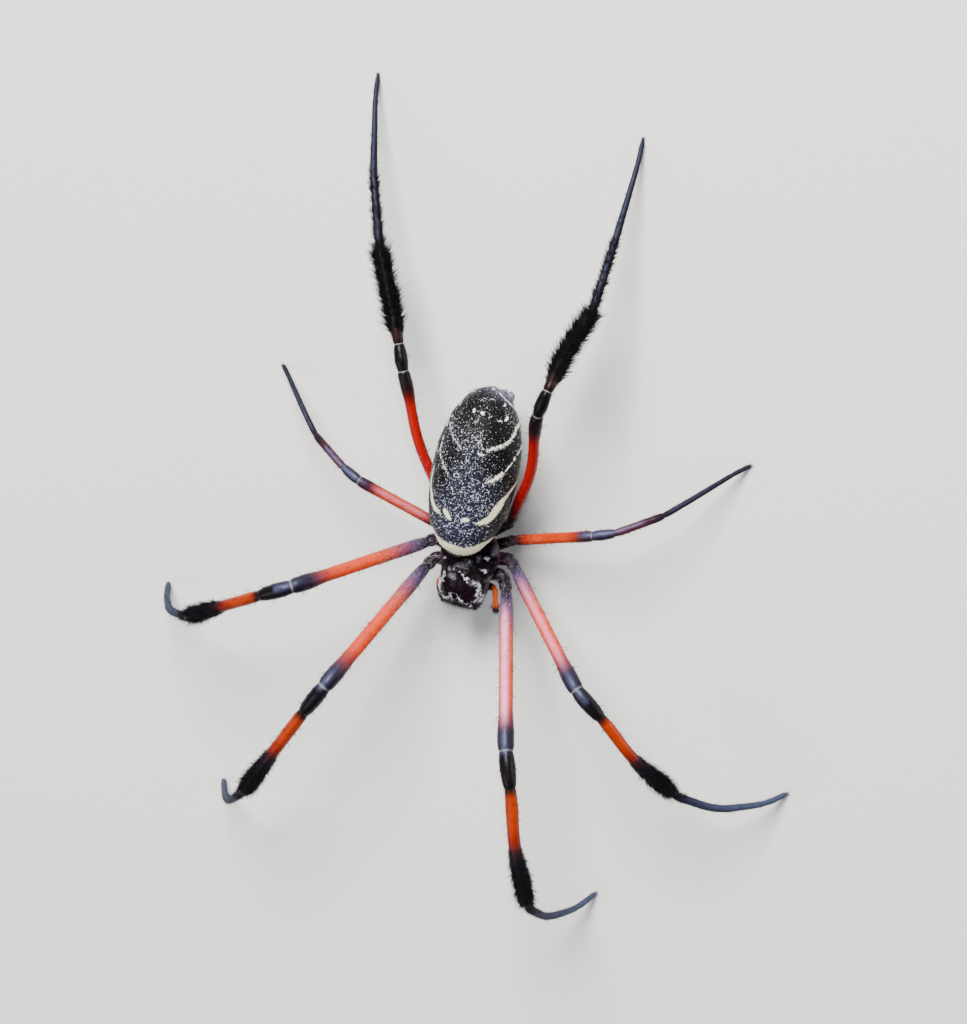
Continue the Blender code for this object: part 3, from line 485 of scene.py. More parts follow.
def ripple(points, spacing, seed):
    """A smooth random value from about -1 to 1 at each point: the mean of six sine waves whose
    directions are random and whose lengths are about the spacing."""
    draw = np.random.default_rng(seed)
    waves = normalised(draw.normal(size=(6, 3))) * 2 * math.pi / (spacing * draw.uniform(0.7, 1.4, (6, 1)))
    return np.sin(points @ waves.T + draw.uniform(0, 2 * math.pi, 6)).mean(axis=-1) * 1.7


def outwards(surface):
    """The surface with its faces turned outwards: turned round where its signed volume is negative."""
    points, quads, triangles = surface
    fans = np.concatenate([quads[:, (0, 1, 2)], quads[:, (0, 2, 3)], triangles])
    corners = points[fans] - points.mean(axis=0)
    volume = np.einsum("ij,ij->", corners[:, 0], np.cross(corners[:, 1], corners[:, 2]))
    return surface if volume > 0 else (points, quads[:, ::-1], triangles[:, ::-1])


def closed_surface(rings):
    """A closed skin over rings of points, in an array of rows, columns and three coordinates: quads
    between neighbouring rings, wrapped round, and a fan to the middle of the first and last ring."""
    rows, columns = rings.shape[:2]
    points = np.concatenate([rings.reshape(-1, 3), rings[:1].mean(axis=1), rings[-1:].mean(axis=1)])
    row, side = np.meshgrid(np.arange(rows - 1), np.arange(columns), indexing="ij")
    low = row * columns
    after = (side + 1) % columns
    corners = (low + side, low + after, low + columns + after, low + columns + side)
    quads = np.stack(corners, axis=-1).reshape(-1, 4)
    side = np.arange(columns)
    after = (side + 1) % columns
    top = (rows - 1) * columns
    first = np.stack([np.full(columns, rows * columns), after, side], axis=1)
    last = np.stack([np.full(columns, rows * columns + 1), top + side, top + after], axis=1)
    return outwards((points, quads, np.concatenate([first, last])))


def joined(surfaces):
    """Several surfaces as one, their corner numbers moved on."""
    points, quads, triangles = [], [], []
    count = 0
    for surface in surfaces:
        points.append(surface[0])
        quads.append(surface[1] + count)
        triangles.append(surface[2] + count)
        count += len(surface[0])
    return np.concatenate(points), np.concatenate(quads), np.concatenate(triangles)


def new_piece(name, surface, finish, nodes=(), values=None, patches=None):
    """An object of the model: a mesh filled from arrays, with named values on its points and, for
    hair, its own map. It replaces the named nodes."""
    points, quads, triangles = surface
    mesh = bpy.data.meshes.new(name)
    mesh.vertices.add(len(points))
    mesh.vertices.foreach_set("co", placed(points).astype(np.float32).ravel())
    corners = np.concatenate([quads.ravel(), triangles.ravel()]).astype(np.int32)
    sizes = np.concatenate([np.full(len(quads), 4), np.full(len(triangles), 3)])
    mesh.loops.add(len(corners))
    mesh.loops.foreach_set("vertex_index", corners)
    mesh.polygons.add(len(sizes))
    mesh.polygons.foreach_set("loop_start", (np.cumsum(sizes) - sizes).astype(np.int32))
    mesh.update(calc_edges=True)
    mesh.shade_smooth()
    for key, value in (values or {}).items():
        value = np.asarray(value, dtype=np.float32)
        if value.ndim == 1:
            mesh.attributes.new(key, "FLOAT", "POINT").data.foreach_set("value", value)
        else:
            colour = np.concatenate([value, np.ones((len(value), 1), np.float32)], axis=1)
            mesh.attributes.new(key, "FLOAT_COLOR", "POINT").data.foreach_set("color", colour.ravel())
    if patches is not None:
        layer = mesh.uv_layers.new(name="OFBake")
        layer.uv.foreach_set("vector", patches[corners].astype(np.float32).ravel())
    mesh.materials.append(FINISH[finish])
    piece = bpy.data.objects.new(name, mesh)
    bpy.context.scene.collection.objects.link(piece)
    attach(piece, "root")
    if nodes:
        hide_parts(*nodes)


def tube_rings(path, radii, sides, squash=1.0):
    """Rings round a path: at each point a circle of its radius square to the path, its first point
    level and its quarter point uppermost, its height times squash."""
    path = np.asarray(path, dtype=float)
    along = normalised(np.gradient(path, axis=0))
    level = normalised(np.cross(along, UP))
    upper = np.cross(level, along) * squash
    turn = full_turn(sides)
    circle = np.cos(turn)[:, None] * level[:, None] + np.sin(turn)[:, None] * upper[:, None]
    return path[:, None] + np.asarray(radii)[:, None, None] * circle


def smooth_tube(points, widths, rows, sides, squash=1.0):
    """Rings along a smooth curve through a few points, each with its own diameter."""
    points = np.asarray(points, dtype=float)
    lengths = lengths_along(points)
    stations = np.column_stack([lengths / lengths[-1], points, widths])
    table = through_stations(stations, (1 - np.cos(np.linspace(0, math.pi, rows))) / 2)
    return tube_rings(table[:, :3], np.maximum(table[:, 3], 0.02) / 2, sides, squash)


def ring_values(values):
    """Values of the rings' points with the mean of the first and last ring for the two end points."""
    flat = values.reshape(-1, *values.shape[2:])
    return np.concatenate([flat, values[:1].mean(axis=1), values[-1:].mean(axis=1)])


def hairs(roots, aims, bends, widths):
    """Curved needles with three sides: at share t of a needle its middle is at root + aim t + bend t t.
    It is full width up to the root's ring, three fifths of it halfway, and ends in a point."""
    count = len(roots)
    across = normalised(np.cross(aims, UP + 0.01))
    upright = normalised(np.cross(across, aims))
    turn = full_turn(3)
    circle = np.cos(turn)[:, None, None] * across + np.sin(turn)[:, None, None] * upright
    low = roots - aims * 0.06 + circle * widths[:, None] / 2
    middle = roots + aims * 0.5 + bends * 0.25 + circle * widths[:, None] * 0.3
    tip = roots + aims + bends
    points = np.concatenate([low, middle, tip[None]]).transpose(1, 0, 2).reshape(-1, 3)
    base = np.arange(count)[:, None, None] * HAIR_POINTS
    quads = base + np.array([[0, 1, 4, 3], [1, 2, 5, 4], [2, 0, 3, 5]])
    triangles = base + np.array([[3, 4, 6], [4, 5, 6], [5, 3, 6]])
    return points, quads.reshape(-1, 4), triangles.reshape(-1, 3)


def strewn(rings, density, count, seed):
    """Random places on a wrapped skin of rings, by density times the area of each cell: the points,
    the ways outwards and along the rows, and each point's place on the unwrapped skin from 0 to 1."""
    draw = np.random.default_rng(seed)
    rows, columns = rings.shape[:2]
    wrapped = np.concatenate([rings, rings[:, :1]], axis=1)
    down = wrapped[1:, :-1] - wrapped[:-1, :-1]
    over = wrapped[:-1, 1:] - wrapped[:-1, :-1]
    weight = np.linalg.norm(np.cross(down, over), axis=-1) * density[:-1]
    chosen = draw.choice(weight.size, size=count, p=(weight / weight.sum()).ravel())
    row, column = np.divmod(chosen, columns)
    a, b = draw.random((2, count, 1))
    near = wrapped[row, column] * (1 - b) + wrapped[row, column + 1] * b
    far = wrapped[row + 1, column] * (1 - b) + wrapped[row + 1, column + 1] * b
    middle = rings.mean(axis=1)[row]
    facing = normalised(np.cross(down[row, column], over[row, column]))
    facing *= np.sign(np.einsum("ij,ij->i", facing, near - middle))[:, None]
    unwrapped = np.column_stack([(column + b[:, 0]) / columns, (row + a[:, 0]) / rows])
    return near * (1 - a) + far * a, facing, normalised(down[row, column]), unwrapped


def coat(rings, families, seed):
    """All hair of one skin. A family gives density, count, reach outwards, run along the rows, width,
    tone (0 black, 1 silver), the spread of its lengths and how many hairs lean together in one lock;
    a hair starts steep and lies over."""
    draw = np.random.default_rng(seed)
    parts, tones, patches = [], [], []
    for number, (density, count, reach, run, width, tone, spread, *rest) in enumerate(families):
        lock = rest[0] if rest else 1
        locks = count // lock
        found = strewn(rings, density, locks, seed * 31 + number)
        roots, facing, along, unwrapped = (np.repeat(values, lock, axis=0) for values in found)
        count = len(roots)
        size = np.repeat(draw.uniform(1 - spread, 1 + spread, locks), lock)[:, None]
        if lock > 1:
            size = size * draw.uniform(0.85, 1.0, (count, 1))
        stray = np.repeat(draw.normal(scale=STRAY, size=(locks, 3)), lock, axis=0) * math.hypot(reach, run)
        apart = draw.normal(scale=LOCK_SPREAD, size=(count, 3)) if lock > 1 else np.zeros((count, 3))
        apart -= np.einsum("ij,ij->i", apart, facing)[:, None] * facing
        aims = (facing * reach * 1.2 + along * run * 0.7 + stray) * size - apart * 0.6
        bends = (along * run * 0.3 - facing * reach * 0.2) * size - apart * 0.3
        parts.append(hairs(roots + apart, aims, bends, width * draw.uniform(0.8, 1.2, count)))
        tones.append(np.repeat(np.clip(tone + draw.normal(scale=0.06, size=count), 0, 1), HAIR_POINTS))
        spot = HAIR_PATCH + unwrapped * 0.99
        patches.append((spot[:, None] + (HAIR_CORNERS - 0.5) * HAIR_PATCH).reshape(-1, 2))
    return joined(parts), np.concatenate(tones), np.clip(np.concatenate(patches), 0, 1)


def new_coat(name, rings, families, seed):
    """The coat of a skin as a piece, kept above the floor."""
    surface, tones, patches = coat(rings, families, seed)
    surface[0][:, 2] = np.maximum(surface[0][:, 2], FLOOR_GAP)
    new_piece(name, surface, "hair", (), {"tone": tones}, patches)


# shader helpers

def node(tree, kind, inputs=None, **settings):
    """A shader node with its settings and inputs: a socket is linked, anything else is its value."""
    made = tree.nodes.new(kind)
    for key, value in settings.items():
        setattr(made, key, value)
    for key, value in (inputs or {}).items():
        if isinstance(value, bpy.types.NodeSocket):
            tree.links.new(value, made.inputs[key])
        else:
            made.inputs[key].default_value = value
    return made


def calc(tree, operation, *values, clamp=False):
    """A sum, product or other result of up to three values."""
    inputs = dict(enumerate(values))
    return node(tree, "ShaderNodeMath", inputs, operation=operation, use_clamp=clamp).outputs[0]


def product(tree, first, *others):
    """Values multiplied."""
    for other in others:
        first = calc(tree, "MULTIPLY", first, other)
    return first


def scaled(tree, vector, factor):
    """A vector times a factor."""
    return node(tree, "ShaderNodeVectorMath", {0: vector, "Scale": factor}, operation="SCALE").outputs[0]


def blended(tree, share, first, second):
    """Two colours mixed by a share, each a socket or an sRGB colour."""
    colours = {0: share}
    for key, value in ((6, first), (7, second)):
        colours[key] = value if isinstance(value, bpy.types.NodeSocket) else (*linear(value), 1.0)
    return node(tree, "ShaderNodeMix", colours, data_type="RGBA").outputs[2]


def ranged(tree, value, low, high, to_low=0.0, to_high=1.0):
    """A value's range from low to high turned smoothly into another range."""
    inputs = {"Value": value, "From Min": low, "From Max": high, "To Min": to_low, "To Max": to_high}
    return node(tree, "ShaderNodeMapRange", inputs, interpolation_type="SMOOTHSTEP").outputs["Result"]


def attribute(tree, name, output="Fac"):
    """A named value of the mesh's points."""
    return node(tree, "ShaderNodeAttribute", attribute_name=name).outputs[output]


def noise(tree, vector, scale, detail=3.0, roughness=0.55, output=0):
    """Noise as a value, or as a colour with output 1."""
    inputs = {"Vector": vector, "Scale": scale, "Detail": detail, "Roughness": roughness}
    return node(tree, "ShaderNodeTexNoise", inputs).outputs[output]


def clouds(tree, place, scale, to_low=0.0, to_high=1.0):
    """Noise drawn out to a full range."""
    return ranged(tree, noise(tree, place, scale), 0.3, 0.7, to_low, to_high)


def new_group(name, output, *others):
    """A shader node group with a position, a spacing, other inputs and one output: the group, its
    inputs, the position in units of the spacing, and the output's socket."""
    group = bpy.data.node_groups.new(name, "ShaderNodeTree")
    group.interface.new_socket(name="Position", in_out="INPUT", socket_type="NodeSocketVector")
    for label in ("Spacing", *others):
        group.interface.new_socket(name=label, in_out="INPUT", socket_type="NodeSocketFloat")
    group.interface.new_socket(name=output, in_out="OUTPUT", socket_type="NodeSocketFloat")
    given = group.nodes.new("NodeGroupInput").outputs
    spread = scaled(group, given["Position"], calc(group, "DIVIDE", 1.0, given["Spacing"]))
    return group, given, spread, group.nodes.new("NodeGroupOutput").inputs[output]


def make_fleck_group():
    """Flecks: a Voronoi cell in metres of the given spacing holds one with the chance of the density,
    ragged by noise, with its size and brightness by the cell's own random values. Puts out a mask."""
    group, given, spread, out = new_group("flecks", "Mask", "Density")
    push = scaled(group, noise(group, spread, 1.1, 2.0, output=1), 1.3)
    moved = node(group, "ShaderNodeVectorMath", {0: spread, 1: push}, operation="ADD").outputs[0]
    cells = node(group, "ShaderNodeTexVoronoi", {"Vector": moved, "Scale": 1.0}).outputs
    chance = node(group, "ShaderNodeSeparateColor", {0: cells["Color"]}).outputs
    present = calc(group, "LESS_THAN", chance[0], given["Density"])
    size = calc(group, "MULTIPLY_ADD", chance[1], 0.2, 0.2)
    inner = calc(group, "MULTIPLY", size, 0.55)
    inputs = {"Value": cells["Distance"], "From Min": size, "From Max": inner}
    mask = node(group, "ShaderNodeMapRange", inputs).outputs["Result"]
    bright = ranged(group, chance[2], 0.0, 0.8, 0.3, 1.0)
    group.links.new(product(group, mask, present, bright), out)
    return group


def make_dash_group():
    """Dashes: thin wriggling lines where one noise is close to its middle, broken up where a second,
    finer noise is low, and thinned out by the density. Puts out a mask."""
    group, given, spread, out = new_group("dashes", "Mask", "Density")
    waves = calc(group, "ABSOLUTE", calc(group, "SUBTRACT", noise(group, spread, 0.55, 1.5), 0.5))
    line = ranged(group, waves, 0.046, 0.024)
    second = noise(group, spread, 1.15, 1.0, output=1)
    broken = node(group, "ShaderNodeSeparateColor", {0: second}).outputs[2]
    limit = calc(group, "MULTIPLY_ADD", given["Density"], -0.2, 0.685)
    present = ranged(group, calc(group, "SUBTRACT", broken, limit), 0.0, 0.04)
    group.links.new(product(group, line, present), out)
    return group


def make_relief_group():
    """Cuticle relief: noise for the grain and half a Voronoi distance for the pores, as one height."""
    group, _, spread, out = new_group("cuticle_relief", "Height")
    grain = noise(group, spread, 1.0, 4.0, 0.6)
    pores = node(group, "ShaderNodeTexVoronoi", {"Vector": spread, "Scale": 0.7}).outputs["Distance"]
    group.links.new(calc(group, "MULTIPLY_ADD", pores, 0.5, grain), out)
    return group


def effect(tree, group, place, spacing, **others):
    """What a node group puts out at a place."""
    inputs = {"Position": place, "Spacing": spacing, **others}
    return node(tree, "ShaderNodeGroup", inputs, node_tree=group).outputs[0]


def new_material(name, roughness, coat_weight=0.0, specular=0.5, coat_roughness=0.15):
    """A material with its node tree, its shader's inputs and the place on the object."""
    made = bpy.data.materials.new(name)
    made.use_nodes = True
    tree = made.node_tree
    shader = tree.nodes["Principled BSDF"].inputs
    shader["Roughness"].default_value = roughness
    shader["Coat Weight"].default_value = coat_weight
    shader["Coat Roughness"].default_value = coat_roughness
    shader["Specular IOR Level"].default_value = specular
    return made, tree, shader, node(tree, "ShaderNodeTexCoord").outputs["Object"]


def bumped(tree, shader, place, spacing, distance, raised=0.0):
    """Relief of a spacing and what is raised, in units of the distance, as the shader's normal."""
    height = calc(tree, "ADD", effect(tree, RELIEF, place, spacing), raised)
    made = node(tree, "ShaderNodeBump", {"Height": height, "Distance": distance, "Strength": 1.0})
    tree.links.new(made.outputs[0], shader["Normal"])


def make_abdomen_finish():
    """Black to slate-blue ground, bluish-white flecks and dashes by density, and white to cream marks
    whose ragged edges come from noise added to the marks' signed distance."""
    made, tree, shader, place = new_material("abdomen_cuticle", 0.55, specular=0.12)
    blue, density, creamy = (attribute(tree, key) for key in ("blueness", "fleckiness", "cream"))
    cloud = noise(tree, place, 900.0)
    dust = ranged(tree, noise(tree, place, 6500.0, 2.0, 0.6), 0.35, 0.7, 0.25, 1.3)
    uneven = ranged(tree, cloud, 0.25, 0.75, 0.6, 1.2)
    bluish = calc(tree, "MULTIPLY", product(tree, blue, dust), uneven, clamp=True)
    lilac = calc(tree, "MULTIPLY", attribute(tree, "lilac"), dust, clamp=True)
    ground = blended(tree, lilac, blended(tree, bluish, ABDOMEN_BLACK, ABDOMEN_BLUE), LILAC_GREY)
    flecks = make_fleck_group()
    fine = effect(tree, flecks, place, FINE_FLECKS, Density=product(tree, density, 0.6))
    coarse = effect(tree, flecks, place, COARSE_FLECKS, Density=product(tree, density, 0.13))
    lines = effect(tree, make_dash_group(), place, DASHES, Density=density)
    speckle = calc(tree, "MAXIMUM", fine, calc(tree, "MAXIMUM", coarse, lines))
    pale = blended(tree, blue, FLECK_WHITE, FLECK_BLUE)
    cover = product(tree, speckle, ranged(tree, cloud, 0.2, 0.55, 0.5, 1.0))
    strength = ranged(tree, attribute(tree, "wear"), 0.0, 1.0, 0.4, 1.7)
    ragged = calc(tree, "SUBTRACT", noise(tree, place, 4200.0, 3.0, 0.75), 0.49)
    depth = calc(tree, "ADD", attribute(tree, "mark"), product(tree, ragged, strength))
    mark = ranged(tree, depth, -0.02, 0.05)
    cream = blended(tree, creamy, MARK_WHITE, MARK_CREAM)
    stained = blended(tree, clouds(tree, place, 2600.0), cream, MARK_STAIN)
    shade = blended(tree, product(tree, creamy, 0.45), cream, stained)
    tree.links.new(blended(tree, mark, blended(tree, cover, ground, pale), shade), shader["Base Color"])
    raised = product(tree, calc(tree, "MAXIMUM", mark, speckle), 0.7)
    bumped(tree, shader, place, spacing=0.00035, distance=0.00003, raised=raised)
    return made


def make_shield_finish():
    """Glossy purple-black cuticle, plum by its margin value, with silver hair by signed distance."""
    made, tree, shader, place = new_material(
        "shield_cuticle", 0.3, coat_weight=0.03, specular=0.06, coat_roughness=0.06)
    ground = blended(tree, clouds(tree, place, 700.0), SHIELD_BLACK, SHIELD_BROWN)
    plum = blended(tree, attribute(tree, "plum"), ground, SHIELD_PLUM)
    lie = node(tree, "ShaderNodeMapping", {"Vector": place, "Scale": (1.0, 0.22, 1.0)}).outputs[0]
    strands = noise(tree, lie, 14000.0, 2.0)
    blotch = noise(tree, place, 2600.0, 2.0, 0.6)
    uneven = calc(tree, "ADD", product(tree, strands, 0.45), product(tree, blotch, 2.2))
    depth = calc(tree, "ADD", calc(tree, "SUBTRACT", uneven, 1.4), attribute(tree, "silver"))
    haze = product(tree, attribute(tree, "bloom"), ranged(tree, strands, 0.4, 0.65, 0.0, 0.42))
    cover = calc(tree, "MAXIMUM", ranged(tree, depth, -0.05, 0.12), haze)
    silver = blended(tree, strands, SILVER_SHADE, SILVER_LIGHT)
    tree.links.new(blended(tree, cover, plum, silver), shader["Base Color"])
    tree.links.new(ranged(tree, cover, 0.0, 1.0, 0.24, 0.6), shader["Roughness"])
    raised = product(tree, cover, strands, 1.6)
    bumped(tree, shader, place, spacing=0.0003, distance=0.00003, raised=raised)
    return made


def make_cuticle_finish(name, spacing, depth, coat_weight):
    """Cuticle in the colour of its points, clouded and specked, as glossy as its points say."""
    made, tree, shader, place = new_material(name, 0.4, coat_weight, specular=0.12)
    cloud = clouds(tree, place, 1400.0)
    colour = attribute(tree, "colour", "Color")
    inputs = {0: 0.4, 6: colour, 7: CUTICLE_DARK}
    dark = node(tree, "ShaderNodeMix", inputs, data_type="RGBA").outputs[2]
    speck = ranged(tree, noise(tree, place, 9000.0, 2.0, 0.7), 0.52, 0.7, 0.0, 0.7)
    clouded = blended(tree, product(tree, cloud, 0.35), colour, dark)
    tree.links.new(blended(tree, product(tree, speck, 0.5), clouded, dark), shader["Base Color"])
    rough = calc(tree, "ADD", attribute(tree, "matt"), product(tree, cloud, 0.08))
    tree.links.new(rough, shader["Roughness"])
    bumped(tree, shader, place, spacing, depth)
    return made


def make_hair_finish():
    """Hair from black through brown-grey to silver by each strand's own tone."""
    made, tree, shader, place = new_material("hair", 0.6, specular=0.1)
    tone = attribute(tree, "tone")
    dark = blended(tree, ranged(tree, tone, 0.0, 0.5), HAIR_BLACK, HAIR_BROWN)
    light = blended(tree, ranged(tree, tone, 0.5, 1.0), dark, HAIR_SILVER)
    inputs = {0: 1.0, 6: light, 7: clouds(tree, place, 4000.0, 0.8, 1.1)}
    shade = node(tree, "ShaderNodeMix", inputs, data_type="RGBA", blend_type="MULTIPLY").outputs[2]
    tree.links.new(shade, shader["Base Color"])
    return made


def make_plain_finish(name, first, second, roughness, coat_weight, depth):
    """Two close colours clouded by noise over a fine relief, for beads, horns, claws and floor."""
    made, tree, shader, place = new_material(name, roughness, coat_weight)
    tree.links.new(blended(tree, clouds(tree, place, 1800.0), first, second), shader["Base Color"])
    bumped(tree, shader, place, spacing=0.0002, distance=depth)
    return made


# the abdomen

def abdomen_frame():
    """The abdomen's axis, and the directions across (to the left) and up, square to it."""
    axis = ABDOMEN_REAR - ABDOMEN_FRONT
    across = normalised(np.cross(axis, UP))
    return axis, across, normalised(np.cross(across, axis))


def abdomen_points(shares, turns):
    """Egg-shaped sections round the axis: half width times cosine across, rise or depth times sine up.
    The ends close like half a circle over the first and last two hundredths."""
    axis, across, up = abdomen_frame()
    sizes = through_stations(ABDOMEN, np.ravel(shares)).reshape(*np.shape(shares), 3)
    from_end = np.clip(np.minimum(shares, 1 - shares) / 0.02, 0, 1)
    closing = np.sqrt(1 - (1 - from_end) ** 2)
    height = np.where(np.sin(turns) > 0, sizes[..., 1], sizes[..., 2]) * np.sin(turns) * closing
    wide = sizes[..., 0] * np.cos(turns) * closing
    return ABDOMEN_FRONT + shares[..., None] * axis + wide[..., None] * across + height[..., None] * up


def on_abdomen(share, degrees):
    """The abdomen's points at shares of its axis and degrees round it."""
    return abdomen_points(np.asarray(share), np.radians(degrees))


def distance_to_stroke(points, stroke):
    """How deep each point lies inside a stroke: half its width there less the distance to its line."""
    deepest = np.full(len(points), -9.0)
    stroke = np.asarray(stroke)
    if len(stroke) == 1:
        return stroke[0, 3] / 2 - np.linalg.norm(points - stroke[0, :3], axis=1)
    for start, end in zip(stroke, stroke[1:]):
        line = end[:3] - start[:3]
        t = np.clip((points - start[:3]) @ line / max(line @ line, 1e-9), 0, 1)
        away = np.linalg.norm(points - start[:3] - t[:, None] * line, axis=1)
        deepest = np.maximum(deepest, (start[3] * (1 - t) + end[3] * t) / 2 - away)
    return deepest


def abdomen_stroke(rows):
    """A mark's rows made closer together and put on the abdomen: place and width at each point."""
    table = np.array(rows, dtype=float)
    if len(table) > 1:
        steps = np.linspace(0, len(table) - 1, 6 * (len(table) - 1) + 1)
        table = np.stack([np.interp(steps, np.arange(len(table)), column) for column in table.T], axis=1)
    return np.column_stack([on_abdomen(table[:, 0], table[:, 1]), table[:, 2]])


def abdomen_marks(points):
    """How deep each point lies in its nearest mark, and that mark's creaminess and wear. Short marks
    keep clean edges, and long ones are the more worn the thinner they are."""
    mark = np.full(len(points), -9.0)
    cream, wear = np.zeros((2, len(points)))
    for tint, line in (*MARKS, *((SPOT_TINT, (spot,)) for spot in SPOTS)):
        stroke = abdomen_stroke(line)
        stroke[:, 3] -= (FAINT_NARROWER if 0.4 <= tint <= 0.5 else NARROWER) * (stroke[:, 3] < THIN_MARK)
        depth = distance_to_stroke(points, stroke)
        worn = (0.75 + 0.25 * smooth_step(0.75, 0.35, stroke[:, 3].max())) * (len(stroke) > 13)
        cream = np.where(depth > mark, tint, cream)
        wear = np.where(depth > mark, worn, wear)
        mark = np.maximum(mark, depth)
    return mark, cream, wear


def abdomen_ground(points, mark):
    """Fleckiness, blueness and lilac: bells round the patches, and more flecks close to a mark."""
    fleckiness, blueness = np.full((2, len(points)), 0.5)
    for share, degrees, reach, more_flecks, more_blue in GROUND:
        near = closeness(points, on_abdomen(share, degrees), reach) * PATCH_STRENGTH
        fleckiness += more_flecks * near
        blueness += more_blue * near
    lilac = [closeness(points, on_abdomen(share, degrees), reach) for share, degrees, reach in LILAC]
    fleckiness += 0.22 * bell(np.minimum(mark, 0), 0.5)
    return np.clip(fleckiness, 0.08, 1), np.clip(blueness, 0, 1), np.max(lilac, axis=0)


def make_abdomen():
    """The abdomen's skin with its marks, flecks and ground, small dents, folds and fine hair."""
    rows, columns = 250, 320
    steps = (1 - np.cos(np.linspace(0.01, math.pi - 0.01, rows))) / 2
    shares, turns = np.meshgrid(steps, full_turn(columns), indexing="ij")
    rings = abdomen_points(shares, turns)
    flat = rings.reshape(-1, 3)
    middles = ABDOMEN_FRONT + steps[:, None] * (ABDOMEN_REAR - ABDOMEN_FRONT)
    outward = normalised(rings - middles[:, None])
    folds = np.sin(shares * 150 + ripple(rings, 6.0, 3) * 2.5) * 0.03
    folds = folds * smooth_step(0.4, -0.5, np.sin(turns))
    lumps = ripple(rings, 3.2, 5) * 0.05 + ripple(rings, 0.9, 6) * 0.018
    places = [on_abdomen(share, degrees) for share in DENT_SHARES for degrees in DENT_DEGREES]
    dents = DENT_DEPTH * sum(closeness(rings, place, DENT_REACH) for place in places)
    moved = rings + outward * (folds + lumps - dents - 0.06)[..., None]
    mark, cream, wear = abdomen_marks(flat)
    values = dict(zip(
        ("mark", "cream", "wear", "fleckiness", "blueness", "lilac"),
        (np.clip(mark, -1, 1), cream, wear, *abdomen_ground(flat, mark))))
    values = {key: ring_values(value.reshape(rows, columns)) for key, value in values.items()}
    new_piece("abdomen_skin", closed_surface(moved), "abdomen", ("abdomen",), values)
    even = np.ones((rows, columns))
    rear = smooth_step(0.9, 0.97, shares)
    new_coat("abdomen_hair", moved, (
        (even, 1500, 0.1, 0.26, 0.016, 0.8, 0.4),
        (even, 1500, 0.13, 0.28, 0.018, 0.1, 0.4),
        (rear, 320, 0.24, 0.32, 0.022, 0.3, 0.3),
    ), 11)


def make_spinnerets():
    """A low uneven mound with six tapering spinnerets and a blunt tubercle, and their hair."""
    axis, across, up = abdomen_frame()
    aim = normalised(np.array(SPINNERET_AIM))
    depth = through_stations(ABDOMEN, [SPINNERET_SHARE])[0, 2]
    root = ABDOMEN_FRONT + SPINNERET_SHARE * axis - up * depth + across * SPINNERET_ASIDE
    root = root - aim * SPINNERET_SUNK
    side = np.array((1.0, 0.0, 0.0))
    upper = np.cross(side, aim)
    route = [root + aim * ahead for ahead in (-0.8, 0.3, 0.95, 1.35)]
    mound = smooth_tube(route, [3.5, 3.35, 2.9, 1.4], 26, 40)
    tubes = [mound + ripple(mound, 0.8, 21)[..., None] * 0.05 * aim]
    for sideways, upwards, length, width in (
        (0.62, -0.6, 2.2, 1.15), (-0.62, -0.6, 2.2, 1.15), (0.6, 0.4, 1.9, 1.05), (-0.6, 0.4, 1.9, 1.05),
        (0.3, -0.05, 1.7, 0.7), (-0.3, -0.05, 1.7, 0.7), (0.0, 0.95, 1.7, 1.2),
    ):
        start = root + side * sideways + upper * upwards + aim * SPINNERET_GAP
        end = start + aim * length + side * sideways * 0.15
        points = [start, start + (end - start) * 0.35, start + (end - start) * 0.8, end]
        tubes.append(smooth_tube(points, [width, width, width * 0.82, width * 0.42], 18, 20))
    surface = joined([closed_surface(rings) for rings in tubes])
    share = 0.5 + 0.5 * ripple(surface[0], 0.7, 9)
    values = {"colour": mixed(*SPINNERET_TINTS, share), "matt": np.full(len(share), 0.55)}
    new_piece("spinneret_cluster", surface, "soft", ("spinnerets",), values)
    family = (np.ones(tubes[0].shape[:2]), 260, 0.22, 0.2, 0.022, 0.75, 0.4)
    new_coat("spinneret_hair", tubes[0], (family,), 23)


# the head and chest

def crest_height(place):
    """The height of the shield's middle line at a place along Y."""
    return CARAPACE_MARGIN + through_stations(CARAPACE, [place])[0, 1]


def eye_places():
    """Eye names with their places on the face, as the solids have them."""
    rows = {
        "median_front": (0.42, FACE + 0.4, crest_height(FACE + 0.4) + 0.05),
        "median_rear": (0.5, FACE + 1.2, crest_height(FACE + 1.2) + 0.08),
        "side_front": (2.45, FACE + 0.3, CARAPACE_MARGIN + 0.75),
        "side_rear": (2.9, FACE + 0.95, CARAPACE_MARGIN + 0.95),
    }
    return {
        "eye_" + name + "_" + side: np.array((reach * sign, place, height))
        for name, (reach, place, height) in rows.items() for side, sign in SIDES.items()}


